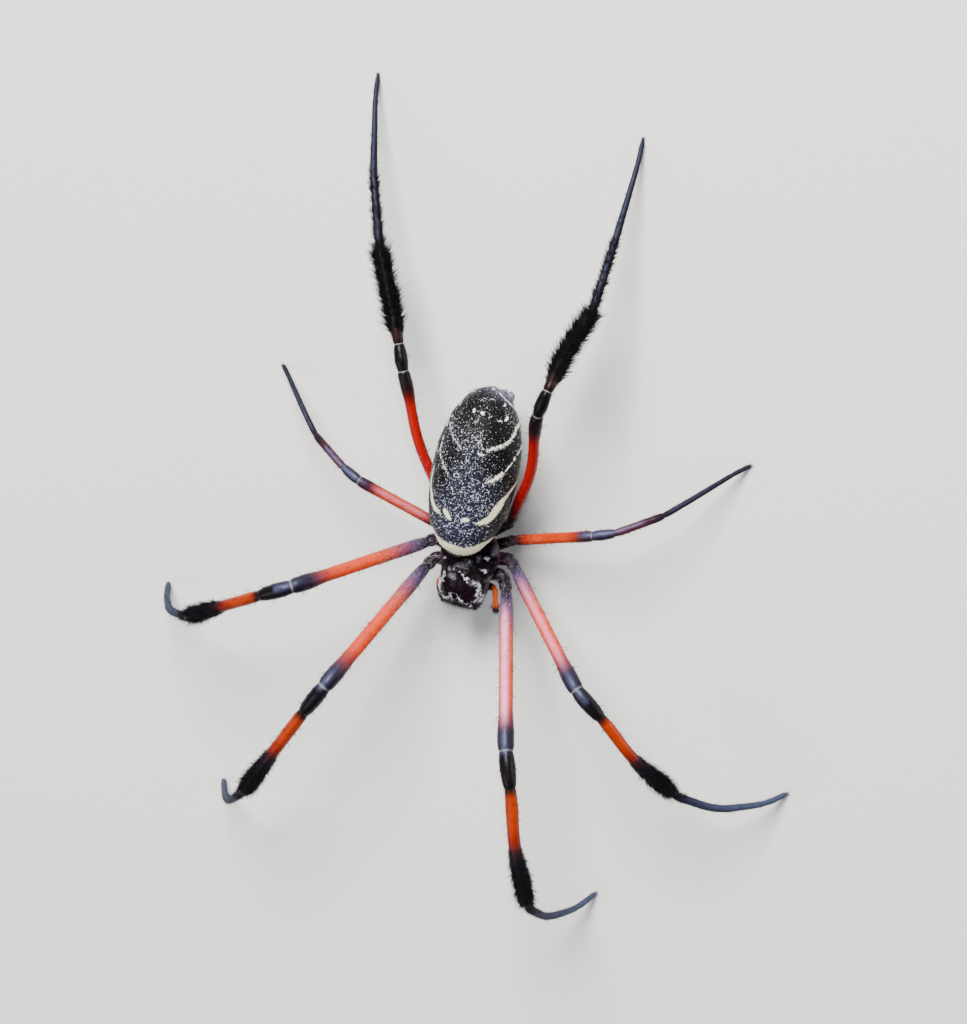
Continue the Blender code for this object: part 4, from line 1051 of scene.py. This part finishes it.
def shield_rings(rows, columns):
    """The shield: half width times a power of the cosine across, height times a power of the sine up,
    with a shallow underside. Grooves, pits and eye mounds are added to the height."""
    shares = np.linspace(0, 1, rows) ** 1.15
    places = FACE + (CARAPACE[-1][0] - FACE) * shares
    sizes = through_stations(CARAPACE, places)
    turn = full_turn(columns)
    across = np.sign(np.cos(turn)) * np.abs(np.cos(turn)) ** 0.85
    lift = np.sin(turn)
    above = np.maximum(lift, 0) ** 0.9 * sizes[:, 1:2]
    rings = np.empty((rows, columns, 3))
    rings[..., 0] = sizes[:, :1] * across
    rings[..., 1] = places[:, None]
    rings[..., 2] = CARAPACE_MARGIN + above + np.minimum(lift, 0) * CARAPACE_DEPTH
    x, y = np.abs(rings[..., 0]), rings[..., 1]
    flat = np.stack([x, y, np.zeros_like(x)], axis=-1).reshape(-1, 3)

    def groove(line, reach):
        """The bell of each point's distance from a line seen from above."""
        stroke = [(*place, 0, 0) for place in line]
        return bell(distance_to_stroke(flat, stroke).reshape(x.shape), reach)

    dip = 0.3 * groove(NECK_LINE, 0.3)
    for end in RAY_ENDS:
        dip += 0.13 * groove((RAY_START, end), 0.22)
    dip += 0.4 * bell(x, 0.55) * bell(y - PIT_PLACE, 0.3)
    rise = 0.25 * np.exp(-((x - HORN_PLACE[0]) ** 2 + (y - HORN_PLACE[1]) ** 2) / 0.3)
    for place in eye_places().values():
        rise += 0.24 * closeness(rings, place, 0.42)
    grain = ripple(rings, 0.8, 31) * 0.025 + ripple(rings, 2.2, 32) * 0.05
    rings[..., 2] += (rise - dip + grain) * smooth_step(0.0, 0.35, lift)
    roll = bell(lift - 0.02, 0.09) * smooth_step(-9.4, -8.2, y)
    rings[..., 0] += np.sign(rings[..., 0]) * roll * 0.12
    return rings


def make_shield():
    """The shield's skin, its silver hair lying in the marks, and its thin dark hair."""
    rings = shield_rings(190, 200)
    flat = rings.reshape(-1, 3) * (1, 1, 0)
    silver = np.full(len(flat), -9.0)
    for line in SILVER:
        slim = [(x, y, 0, width - 0.45 * max(width - 0.15, 0)) for x, y, width in line]
        silver = np.maximum(silver, distance_to_stroke(flat, slim))
    bloom = np.zeros(len(flat))
    for line in BLOOM:
        depth = distance_to_stroke(flat, [(x, y, 0, width) for x, y, width in line])
        bloom = np.maximum(bloom, smooth_step(-0.35, 0.3, depth))
    top = (rings[..., 2] > CARAPACE_MARGIN + 0.12).reshape(-1)
    silver = np.where(top, silver, -1)
    lift = (rings[..., 2] - CARAPACE_MARGIN).reshape(-1)
    plum = bell(lift - 0.05, 0.28) * smooth_step(-9.2, -7.6, flat[:, 1])
    values = {"silver": np.clip(silver, -1, 1), "bloom": bloom, "plum": plum}
    shape = rings.shape[:2]
    values = {key: ring_values(value.reshape(shape)) for key, value in values.items()}
    new_piece("shield", closed_surface(rings), "shield", ("carapace",), values)
    dense = smooth_step(0.0, 0.12, silver).reshape(shape)
    thin = (top & (silver < 0)).reshape(shape).astype(float)
    face = bell(rings[..., 1] - FACE, 0.9) * thin
    new_coat("shield_hair", rings, (
        (dense, 1000, 0.1, 0.2, 0.024, 0.97, 0.35),
        (bloom.reshape(shape), 700, 0.09, 0.24, 0.022, 0.8, 0.35),
        (thin, 700, 0.16, 0.2, 0.018, 0.55, 0.4),
        (face, 260, 0.3, -0.3, 0.024, 0.12, 0.4),
        (face, 160, 0.5, -0.5, 0.032, 0.05, 0.3),
    ), 41)


def section_rings(stations, rows, columns=60):
    """Rings square to Y from the first station to the last that have only their places along Y so
    far, the sizes that the stations give them, and the angles round them."""
    places = np.linspace(stations[0][0], stations[-1][0], rows)
    rings = np.zeros((rows, columns, 3))
    rings[..., 1] = places[:, None]
    return rings, through_stations(stations, places), full_turn(columns)


def make_chest():
    """Sternum, soft flanks and waist: the parts of the chest that show round the shield."""
    rings, sizes, turn = section_rings(STERNUM, 60)
    rings[..., 0] = sizes[:, :1] * np.sign(np.cos(turn)) * np.abs(np.cos(turn)) ** 0.7
    grain = ripple(rings, 1.1, 51) * 0.04
    rings[..., 2] = STERNUM_MIDDLE + sizes[:, 1:2] * np.sin(turn) + grain
    dark_piece("sternum_plate", rings, (30, 16, 24), (58, 30, 40), ("sternum",))
    family = (np.ones(rings.shape[:2]), 420, 0.18, 0.22, 0.022, 0.5, 0.4)
    new_coat("sternum_hair", rings, (family,), 52)
    rings, sizes, turn = section_rings(FLANKS, 80)
    rings[..., 0] = sizes[:, :1] * np.cos(turn)
    rings[..., 2] = sizes[:, 2:3] + sizes[:, 1:2] * np.sin(turn) + np.sin(rings[..., 1] * 9) * 0.04
    dark_piece("soft_flanks", rings, (48, 26, 38), (92, 58, 72))
    rings = smooth_tube(WAIST, [1.0, 0.95, 0.8, 1.0], 40, 30)
    dark_piece("waist", rings, (44, 22, 32), (80, 44, 56), ("pedicel",))


def dark_piece(name, rings, first, second, nodes=()):
    """A small closed skin in two close colours, with a satin cuticle."""
    surface = closed_surface(rings)
    share = 0.5 + 0.5 * ripple(surface[0], 1.0, len(name))
    values = {"colour": mixed(first, second, share), "matt": np.full(len(share), 0.42)}
    new_piece(name, surface, "soft", nodes, values)


def bead(centre, radius, rows, sides):
    """Rings of a sphere, from one pole to the other along Y."""
    angles = np.linspace(0.12, math.pi - 0.12, rows)
    turn = full_turn(sides)
    ring = np.stack([np.cos(turn), np.zeros(sides), np.sin(turn)], axis=1)
    around = np.sin(angles)[:, None, None] * ring
    return centre + radius * (around + np.cos(angles)[:, None, None] * np.array((0.0, 1.0, 0.0)))


def make_eyes_and_horns():
    """Eight glossy beads, and the two small horns behind the head, bent back a little."""
    for name, place in eye_places().items():
        surface = closed_surface(bead(place, 0.25, 18, 28))
        new_piece(name.replace("eye_", "eye_bead_"), surface, "eye", (name,))
    reach, place = HORN_PLACE
    crest = crest_height(place)
    for side, sign in SIDES.items():
        route = [(reach * sign * apart, place + back, crest + rise) for apart, back, rise in (
            (1, 0, -0.7), (1, 0, 0), (1.02, 0.06, 0.45), (1.05, 0.1, 0.72))]
        surface = closed_surface(smooth_tube(route, [0.95, 0.85, 0.5, 0.12], 26, 24))
        new_piece("horn_" + side, surface, "horn")


def make_mouthparts():
    """Chelicerae, their fangs, the lobes and lip behind them, and the palps."""
    for side, sign in SIDES.items():
        reach = 1.2 * sign
        points = [(reach * share, FACE + back, height) for share, back, height in (
            (1, 1.2, 9.4), (1, 1.0, 8.65), (1, 0.75, 8.15), (1, 0.5, 6.85), (0.97, 0.75, 5.45),
            (0.93, 1.1, 4.65))]
        rings = smooth_tube(points, [1.5, 1.75, 1.95, 2.02, 1.65, 1.0], 70, 44)
        outer = rings[..., 0] * sign > 1.5
        surface = closed_surface(rings)
        height = surface[0][:, 2]
        colour = mixed(*CHELICERA_TINTS, smooth_step(5.0, 4.6, height))
        new_piece("chelicera_skin_" + side, surface, "cuticle", ("chelicera_" + side,),
                  {"colour": colour, "matt": np.full(len(height), 0.34)})
        new_coat("chelicera_hair_" + side, rings, (
            (outer.astype(float), 320, 0.2, 0.28, 0.024, 0.85, 0.4),
            (np.ones(rings.shape[:2]), 360, 0.22, 0.3, 0.022, 0.3, 0.4),
            (smooth_step(5.6, 4.9, rings[..., 2]), 160, 0.4, 0.35, 0.03, 0.2, 0.3),
        ), 61 + sign)
        fang = [points[-1] + np.array((inwards * sign, back, -fall)) for inwards, back, fall in (
            (0, 0.05, 0.1), (-0.05, 0.4, 0.6), (-0.2, 0.75, 0.78), (-0.4, 1.25, 0.75))]
        surface = closed_surface(smooth_tube(fang, [0.72, 0.62, 0.46, 0.12], 40, 24))
        new_piece("fang_point_" + side, surface, "claw", ("fang_" + side,))
        lobe = [(aside * sign, place, height) for aside, place, height in (
            (0.75, -9.2, 7.6), (0.8, -9.0, 6.8), (0.72, -9.3, 6.1), (0.6, -9.6, 5.7))]
        rings = smooth_tube(lobe, [1.0, 1.15, 1.0, 0.4], 26, 26)
        dark_piece("mouth_lobe_" + side, rings, (40, 20, 24), (84, 40, 34))
        make_palp(side)
    rings = smooth_tube([(0, -8.6, 7.6), (0, -8.7, 7.0), (0, -9.0, 6.5)], [0.9, 0.85, 0.4], 20, 24)
    dark_piece("lip", rings, (34, 18, 24), (60, 32, 36))


def make_palp(side):
    """A palp: narrow at its joints, plum at the root, orange in the middle and dark at the tip."""
    rows, sides = 130, 28
    rings = smooth_tube(PALP_ROUTE[side], PALP_WIDTHS, rows, sides)
    share = np.linspace(0, 1, rows)
    pinch = sum(0.2 * bell(share - joint, 0.014) for joint in PALP_JOINTS)
    middle = rings.mean(axis=1, keepdims=True)
    rings = middle + (rings - middle) * (1 - pinch)[:, None, None]
    orange, dark = PALP_ORANGE[side]
    stops = (
        (0.0, (30, 14, 22)), (orange - 0.07, (46, 18, 22)), (orange, (180, 66, 12)), (dark, (196, 82, 20)),
        (dark + 0.06, (104, 26, 12)), (dark + 0.12, (34, 11, 12)), (1.0, (14, 8, 9)),
    )
    even = np.ones((rows, sides))
    values = {"colour": ring_values(stops_at(stops, share)[:, None] * even[..., None]),
              "matt": ring_values(0.36 * even)}
    new_piece("palp_skin_" + side, closed_surface(rings), "cuticle", ("palp_" + side,), values)
    end = smooth_step(0.6, 0.75, share)[:, None] * even
    new_coat("palp_hair_" + side, rings, (
        (even, 260, 0.24, 0.3, 0.022, 0.15, 0.4), (end, 420, 0.3, 0.32, 0.024, 0.08, 0.35),
        (end, 40, 0.6, 0.6, 0.045, 0.05, 0.2)), 71 + len(side))


def stops_at(stops, where):
    """Linear colours at places between sRGB stops."""
    places = [place for place, colour in stops]
    colours = np.array([linear(colour) for place, colour in stops])
    return np.stack([np.interp(where, places, colours[:, k]) for k in range(3)], axis=-1)


# the legs

def direction(heading, pitch):
    """Unit vector from a heading and a pitch in degrees."""
    heading, pitch = math.radians(heading), math.radians(pitch)
    level = math.cos(pitch)
    return np.array((level * math.cos(heading), level * math.sin(heading), math.sin(pitch)))


def leg_joints(side, pair):
    """The leg's corners: coxa root, coxa end, hip, knee and so on down to the tip on the floor."""
    sign = SIDES[side]
    swing, headings, pitches = LEG_POSE[side, pair]
    lengths = LEG_LENGTHS[pair]
    root_place, (coxa_reach, coxa_place) = COXA[pair]
    root_reach = through_stations(STERNUM, [root_place])[0, 0] + 0.3
    joints = [
        np.array((sign * root_reach, root_place, STERNUM_MIDDLE + 0.1)),
        np.array((sign * coxa_reach, coxa_place + swing / 2, HIP_HEIGHT - 0.6)),
        np.array((sign * HIP[pair][0], HIP[pair][1] + swing, HIP_HEIGHT)),
    ]
    for length, heading, pitch in zip(lengths, headings, pitches):
        joints.append(joints[-1] + direction(heading, pitch) * length)
    fall = math.degrees(math.asin(joints[-1][2] / lengths[-1]))
    joints.append(joints[-1] + direction(headings[-1], -fall) * lengths[-1])
    return joints


def rounded_corner(before, corner, after, reach):
    """Points round a corner of a path: a parabola from reach before it to reach after it."""
    start = corner + (before - corner) * min(0.45, reach / np.linalg.norm(before - corner))
    end = corner + (after - corner) * min(0.45, reach / np.linalg.norm(after - corner))
    t = np.linspace(0, 1, 17)[:, None]
    return start * (1 - t) ** 2 + corner * 2 * t * (1 - t) + end * t * t


def leg_stretches(side, pair):
    """The leg's smooth path parted at its joints: coxa, femur, patella, tibia and foot."""
    joints = leg_joints(side, pair)
    corners = {number: rounded_corner(joints[number - 1], joints[number], joints[number + 1],
                                      CORNER[pair] * (1.6 if number > 5 else 1))
               for number in range(1, len(joints) - 1)}
    stretches = []
    for first, last in ((0, 2), (2, 3), (3, 4), (4, 5), (5, 8)):
        points = list(corners[first][8:]) if first in corners else [joints[first]]
        for number in range(first + 1, last):
            points += list(corners[number])
        points += list(corners[last][:9]) if last in corners else [joints[last]]
        stretches.append(np.array(points))
    femur_bow, tibia_bow = LEG_BOW.get((side, pair), (0.0, 0.0))
    stretches[1] = bowed(stretches[1], femur_bow)
    stretches[3] = bowed(stretches[3], tibia_bow)
    return stretches


def bowed(points, bow):
    """The stretch with its middle moved level and sideways, in proportion to a squared sine."""
    aside = normalised(np.cross(points[-1] - points[0], UP))
    shares = np.linspace(0, 1, 60)
    return polyline_at(points, shares) + (bow * np.sin(math.pi * shares) ** 2)[:, None] * aside


def parts_of(width, *rows):
    """Shares of a length with diameters, from shares with parts of a width."""
    return tuple((share, width * part) for share, part in rows)


def leg_profile(pair):
    """Diameters along the five stretches by share of length, pinched in at every joint."""
    hip, thick, knee, cap, shin, ankle, tip = LEG_WIDTHS[pair]
    lengths = LEG_LENGTHS[pair]
    coxa = parts_of(
        hip, (0, 0.8), (0.1, 0.92), (0.35, 1), (0.6, 1), (0.69, 0.96), (0.735, 0.85), (0.78, 0.94),
        (0.88, 0.98), (0.95, 0.92), (1, 0.74))
    femur = (
        *parts_of(hip, (0, 0.74), (0.015, 0.84), (0.04, 0.91)),
        *parts_of(thick, (0.12, 1), (0.3, 1), (0.62, 1), (0.78, 1.02)),
        *parts_of(knee, (0.9, 1), (0.95, 0.98), (0.985, 0.92), (1, 0.8)))
    patella = (
        *parts_of(knee, (0, 0.78), (0.05, 0.83), (0.14, 0.89)),
        *parts_of(cap, (0.35, 1), (0.65, 0.95), (0.88, 0.84), (0.96, 0.76), (1, 0.68)))
    tibia = (
        (0, cap * 0.66),
        *parts_of(
            shin, (0.03, 0.93), (0.08, 0.99), (0.35, 1), (0.7, 1), (0.93, 0.94), (0.975, 0.86),
            (1, 0.72)))
    shares = np.linspace(0, 1, 60)
    taper = ankle + (tip - ankle) * shares**1.4
    joint = (lengths[3] + lengths[4]) / sum(lengths[3:])
    taper *= 1 - 0.14 * bell(shares - joint, 0.012)
    taper *= 1 - 0.12 * bell(shares, 0.02) - 0.45 * smooth_step(0.96, 1.0, shares)
    return coxa, femur, patella, tibia, np.column_stack([shares, taper])


def leg_rings(side, pair):
    """One skin over the whole leg, and the level of each ring."""
    path, radii, levels = [], [], []
    for number, (points, profile) in enumerate(zip(leg_stretches(side, pair), leg_profile(pair))):
        shares = np.linspace(0, 1, LEG_RINGS[number], endpoint=number == 4)
        path.append(polyline_at(points, shares))
        radii.append(np.maximum(through_stations(profile, shares)[:, 0], 0.1) / 2)
        levels.append(number + shares)
    path, radii, levels = np.concatenate(path), np.concatenate(radii), np.concatenate(levels)
    path[:, 2] = np.maximum(path[:, 2], radii * 0.8)
    rings = tube_rings(path, radii, LEG_SIDES)
    rings[..., 2] = np.maximum(rings[..., 2], 0.0)
    return rings, levels


def between(levels, low, high, edge=0.03):
    """1 from level low to level high, with soft edges."""
    return smooth_step(low - edge, low + edge, levels) * (1 - smooth_step(high - edge, high + edge, levels))


def make_leg(side, pair):
    """A leg's skin, coloured by level, with pale hair and painted highlights on its lit side and painted
    shade below, and its hair and spines.
    """
    rings, levels = leg_rings(side, pair)
    facing = normalised(rings - rings.mean(axis=1, keepdims=True))
    # how much each point faces the light; the pale hair and painted highlights below follow it
    lit = np.maximum(facing @ normalised(HIGHLIGHT_SIDE), 0)
    stops = {3: THIRD_LEG_COLOURS, 4: REAR_LEG_COLOURS}.get(pair, FRONT_LEG_COLOURS)
    colour = np.repeat(stops_at(stops, levels)[:, None], LEG_SIDES, axis=1)
    # the femur's pale hair and painted highlight, on the side towards the light
    femur_hair_and_highlight = FEMUR_HAIR_AND_HIGHLIGHT[side, pair] * between(levels, 1.15, 1.82, 0.09)
    knee_highlight, knee_end = KNEE_HIGHLIGHT[pair]
    # painted slate highlight on the side towards the light: over the foot, and round the knee up to the
    # pair's end level
    slate_highlight = ((0.45 if pair < 3 else 0.22) * between(levels, 4.05, 5.0)
                   + knee_highlight * between(levels, 1.86, knee_end, 0.08))
    # pale joint membranes at the knee, and on leg four also at the tibia, made brighter on the lit side as
    # a painted highlight
    ring = 0.36 * between(levels, 1.998, 2.03, 0.01)
    if pair == 4:
        ring = 0.8 * between(levels, 1.998, 2.012, 0.004) + 0.8 * between(levels, 2.99, 3.002, 0.004)
    # pale hair and painted highlights laid over the colour, each by how much the point faces the light
    pale_hair_and_highlights = ((femur_hair_and_highlight, PALE_FEMUR, 6.0), (slate_highlight, SLATE_HIGHLIGHT, 9.0), (ring, PALE_RING, 1.0))
    for strength, pale, sharp in pale_hair_and_highlights:
        share = np.minimum(strength[:, None] * lit**sharp, 1)[..., None]
        colour = colour * (1 - share) + linear(pale) * share
    # painted shade: the underside and lower sides darker, most of all at the coxa and the femur's root
    shade = 0.5 + 0.2 * (1 - smooth_step(1.1, 1.4, levels))
    colour = colour * (1 - shade[:, None, None] * smooth_step(0.4, -0.6, facing[..., 2:]))
    matt = 0.3 + 0.06 * between(levels, 0.0, 1.05) - 0.04 * between(levels, 1.86, 3.0)
    matt = matt + 0.35 * between(levels, 4.0, 6.0)
    values = {"colour": ring_values(colour),
              "matt": ring_values(np.repeat(matt[:, None], LEG_SIDES, axis=1))}
    label = "leg_" + str(pair) + "_" + side
    nodes = [label + "_" + part for part in LEG_NODES]
    new_piece(label + "_skin", closed_surface(rings), "cuticle", nodes, values)
    new_coat(label + "_hair", rings, leg_hair(levels, pair), 100 + pair * 10 + len(side))


def make_claws():
    """Three small hooked claws at every foot, each a thin tube bent down to the floor."""
    tubes = []
    for side, pair in LEG_POSE:
        path = leg_stretches(side, pair)[4]
        ahead = normalised((path[-1] - path[-4]) * (1, 1, 0.15))
        aside = normalised(np.cross(ahead, UP))
        tip = path[-1] * (1, 1, 0) + UP * (LEG_WIDTHS[pair][6] * 0.45)
        for spread in (-1, 0, 1):
            start = tip - ahead * 0.12 + aside * 0.12 * spread
            middle = start + ahead * 0.26 + aside * 0.08 * spread + UP * 0.02
            end = start + ahead * 0.44 + aside * 0.12 * spread - UP * 0.14
            tubes.append(smooth_tube([start, middle, end], [0.13, 0.1, 0.03], 10, 8))
    new_piece("claws", joined([closed_surface(rings) for rings in tubes]), "claw")


def leg_hair(levels, pair):
    """Families of hair on a leg: silver at the root, thin down, spines, and the brush on the tibia."""
    turn = full_turn(LEG_SIDES)
    over = np.sin(turn)[None]
    even = np.ones((1, len(turn)))

    def on(low, high, around=even, edge=0.03):
        """Density between two levels, times a density round the leg."""
        return between(levels, low, high, edge)[:, None] * around

    reach = {1: 1.0, 2: 0.95, 3: 0.6, 4: 0.9}[pair]
    size = {1: 1.0, 2: 0.95, 3: 0.5, 4: 0.9}[pair]
    silver = 260 if pair < 3 else 60
    rows = smooth_step(0.7, 0.95, np.cos(6 * turn))[None]
    families = [
        (on(0.15, 1.1, 0.3 + smooth_step(-0.2, 0.8, over)), int(240 * size), 0.14, 0.32, 0.024, 0.85, 0.4),
        (on(0.1, 1.1), int(200 * size), 0.2, 0.3, 0.024, 0.1, 0.4),
        (on(1.0, 1.9), int(420 * size), 0.22, 0.32, 0.022, 0.12, 0.4),
        (on(1.02, 1.4, smooth_step(-0.1, 0.6, over), 0.1), silver, 0.1, 0.3, 0.018, 0.9, 0.3),
        (on(1.1, 3.6, rows), int(260 * size), 0.07, 0.24, 0.05, 0.03, 0.3),
        (on(1.84, 3.1), int(380 * size), 0.24, 0.34, 0.024, 0.1, 0.4),
        (on(3.0, 4.0), int(420 * size), 0.26, 0.36, 0.024, 0.06, 0.4),
        (on(4.0, 4.98), int(900 * size), 0.24, 0.34, 0.024, 0.08, 0.4),
        (on(4.8, 4.99), 160, 0.14, 0.2, 0.02, 0.1, 0.4),
        (on(1.08, 1.95), int(46 * size), 0.72 * reach, 0.6 * reach, 0.1, 0.02, 0.2),
        (on(2.05, 2.95), int(10 * size), 0.72 * reach, 0.6 * reach, 0.1, 0.02, 0.2),
        (on(3.05, 3.95), int(30 * size), 0.72 * reach, 0.6 * reach, 0.1, 0.02, 0.2),
        (on(4.02, 4.7), int(24 * size), 0.55 * reach, 0.55 * reach, 0.07, 0.02, 0.2),
    ]
    bare_back = 1 - 0.7 * smooth_step(0.82, 0.97, over)
    if pair < 3:
        swelling = (0.15 + 0.85 * between(levels, 3.64, 3.95, 0.12))[:, None]
        families += [
            (on(3.5, 3.99, bare_back), 2600, 0.3, 0.5, 0.034, 0.12, 0.35),
            (on(3.54, 3.97, bare_back, 0.04) * swelling, 2400, 0.6, 0.66, 0.042, 0.08, 0.28, 4),
            (on(3.58, 3.97, bare_back, 0.06) * swelling, 900, 1.05, 0.75, 0.045, 0.04, 0.2, 3),
            (on(4.0, 4.08), 200, 0.36, 0.5, 0.034, 0.03, 0.3, 3),
        ]
    if pair == 4:
        families += [
            (on(3.1, 3.99, bare_back, 0.04), 3600, 0.36, 0.6, 0.036, 0.02, 0.35),
            (on(3.14, 3.98, bare_back, 0.05), 3000, 0.75, 0.85, 0.046, 0.02, 0.28, 4),
            (on(3.18, 3.98, bare_back, 0.07), 2200, 1.35, 1.0, 0.05, 0.02, 0.16, 4),
            (on(4.0, 4.4, even, 0.06), 1400, 0.55, 0.62, 0.045, 0.03, 0.3, 4),
            (on(4.25, 4.6, even, 0.1), 400, 0.36, 0.5, 0.036, 0.04, 0.3, 3),
        ]
    return families


# floor, lights and camera

def make_stage():
    """A pale floor: a flat disc of rings far wider than the animal."""
    turn = full_turn(FLOOR_SIDES)
    reach = np.array(FLOOR_REACHES)[:, None]
    points = np.stack([reach * np.cos(turn), reach * np.sin(turn), reach * turn * 0], axis=-1)
    row, side = np.meshgrid(np.arange(len(reach) - 1), np.arange(FLOOR_SIDES), indexing="ij")
    low = row * FLOOR_SIDES
    high = low + FLOOR_SIDES
    after = (side + 1) % FLOOR_SIDES
    faces = np.stack([low + side, high + side, high + after, low + after], axis=-1).reshape(-1, 4)
    mesh = bpy.data.meshes.new("floor")
    mesh.from_pydata(points.reshape(-1, 3).tolist(), [], [*faces.tolist(), list(range(FLOOR_SIDES))])
    mesh.materials.append(FINISH["floor"])
    floor = bpy.data.objects.new("floor", mesh)
    bpy.context.scene.collection.objects.link(floor)


def stand(name, data, place, right, up, back):
    """A camera or light at a place in metres, turned so that it looks against the back direction."""
    holder = bpy.data.objects.new(name, data)
    matrix = np.eye(4)
    matrix[:3, :4] = np.column_stack([right, up, back, place])
    holder.matrix_world = matrix.T
    bpy.context.scene.collection.objects.link(holder)
    return holder


def photo_axes():
    """The photo's right, up and back directions, from the fitted turn and two tilts of its camera."""
    turn, tilt_side, tilt_up = (math.radians(angle) for angle in CAMERA_ANGLES)
    level = np.array((math.cos(turn), math.sin(turn), 0.0))
    ahead = np.array((-math.sin(turn), math.cos(turn), 0.0))
    back = level * math.sin(tilt_side) + ahead * math.sin(tilt_up)
    back = back + UP * math.sqrt(1 - back @ back)
    right = normalised(level - (level @ back) * back)
    return right, np.cross(back, right), back


def make_camera_and_lights():
    """The camera at the photo's scale, three round lights aimed at the animal, and a dim blue sky."""
    right, up, back = photo_axes()
    pixels_right = FIT_PIXEL[0] - PICTURE[0] / 2
    pixels_up = PICTURE[1] / 2 - FIT_PIXEL[1]
    target = FIT_PLACE - right * pixels_right * PIXEL - up * pixels_up * PIXEL
    data = bpy.data.cameras.new("camera")
    data.sensor_width = SENSOR
    data.lens = SENSOR * CAMERA_DISTANCE / (PICTURE[1] * PIXEL)
    data.clip_start = 0.01
    data.clip_end = 20.0
    place = placed(target + back * CAMERA_DISTANCE)
    bpy.context.scene.camera = stand("camera", data, place, right, up, back)
    for name, (reach, size, power, colour) in LIGHTS.items():
        light = bpy.data.lights.new(name, "AREA")
        light.shape = "DISK"
        light.size = size
        light.energy = power
        light.color = colour
        place = right * reach[0] + up * reach[1] + back * reach[2]
        away = normalised(place - LIT_PLACE)
        aside = normalised(np.cross(UP, away))
        stand(name, light, place, aside, np.cross(away, aside), away)
    world = bpy.data.worlds.new("studio")
    world.use_nodes = True
    sky = world.node_tree.nodes["Background"].inputs
    sky[0].default_value = WORLD_COLOUR
    sky[1].default_value = WORLD_STRENGTH
    bpy.context.scene.world = world


RELIEF = make_relief_group()
FINISH = {
    "abdomen": make_abdomen_finish(),
    "shield": make_shield_finish(),
    "cuticle": make_cuticle_finish("leg_cuticle", spacing=0.00018, depth=0.00002, coat_weight=0.02),
    "soft": make_cuticle_finish("soft_cuticle", spacing=0.00025, depth=0.00004, coat_weight=0.0),
    "hair": make_hair_finish(),
    # two colours, roughness, coat weight and the relief's depth in metres
    "eye": make_plain_finish("eye_bead", (3, 2, 3), (14, 6, 5), 0.06, 0.6, 0.000001),
    "horn": make_plain_finish("horn", (9, 6, 9), (22, 13, 16), 0.25, 0.3, 0.00002),
    "claw": make_plain_finish("claw", (40, 12, 8), (84, 26, 14), 0.2, 0.4, 0.00001),
    "floor": make_plain_finish("floor", (228, 227, 223), (233, 232, 229), 0.8, 0.0, 0.00001),
}
make_abdomen()
make_spinnerets()
make_shield()
make_chest()
make_eyes_and_horns()
make_mouthparts()
for side, pair in LEG_POSE:
    make_leg(side, pair)
make_claws()
make_stage()
make_camera_and_lights()

bpy.context.view_layer.update()
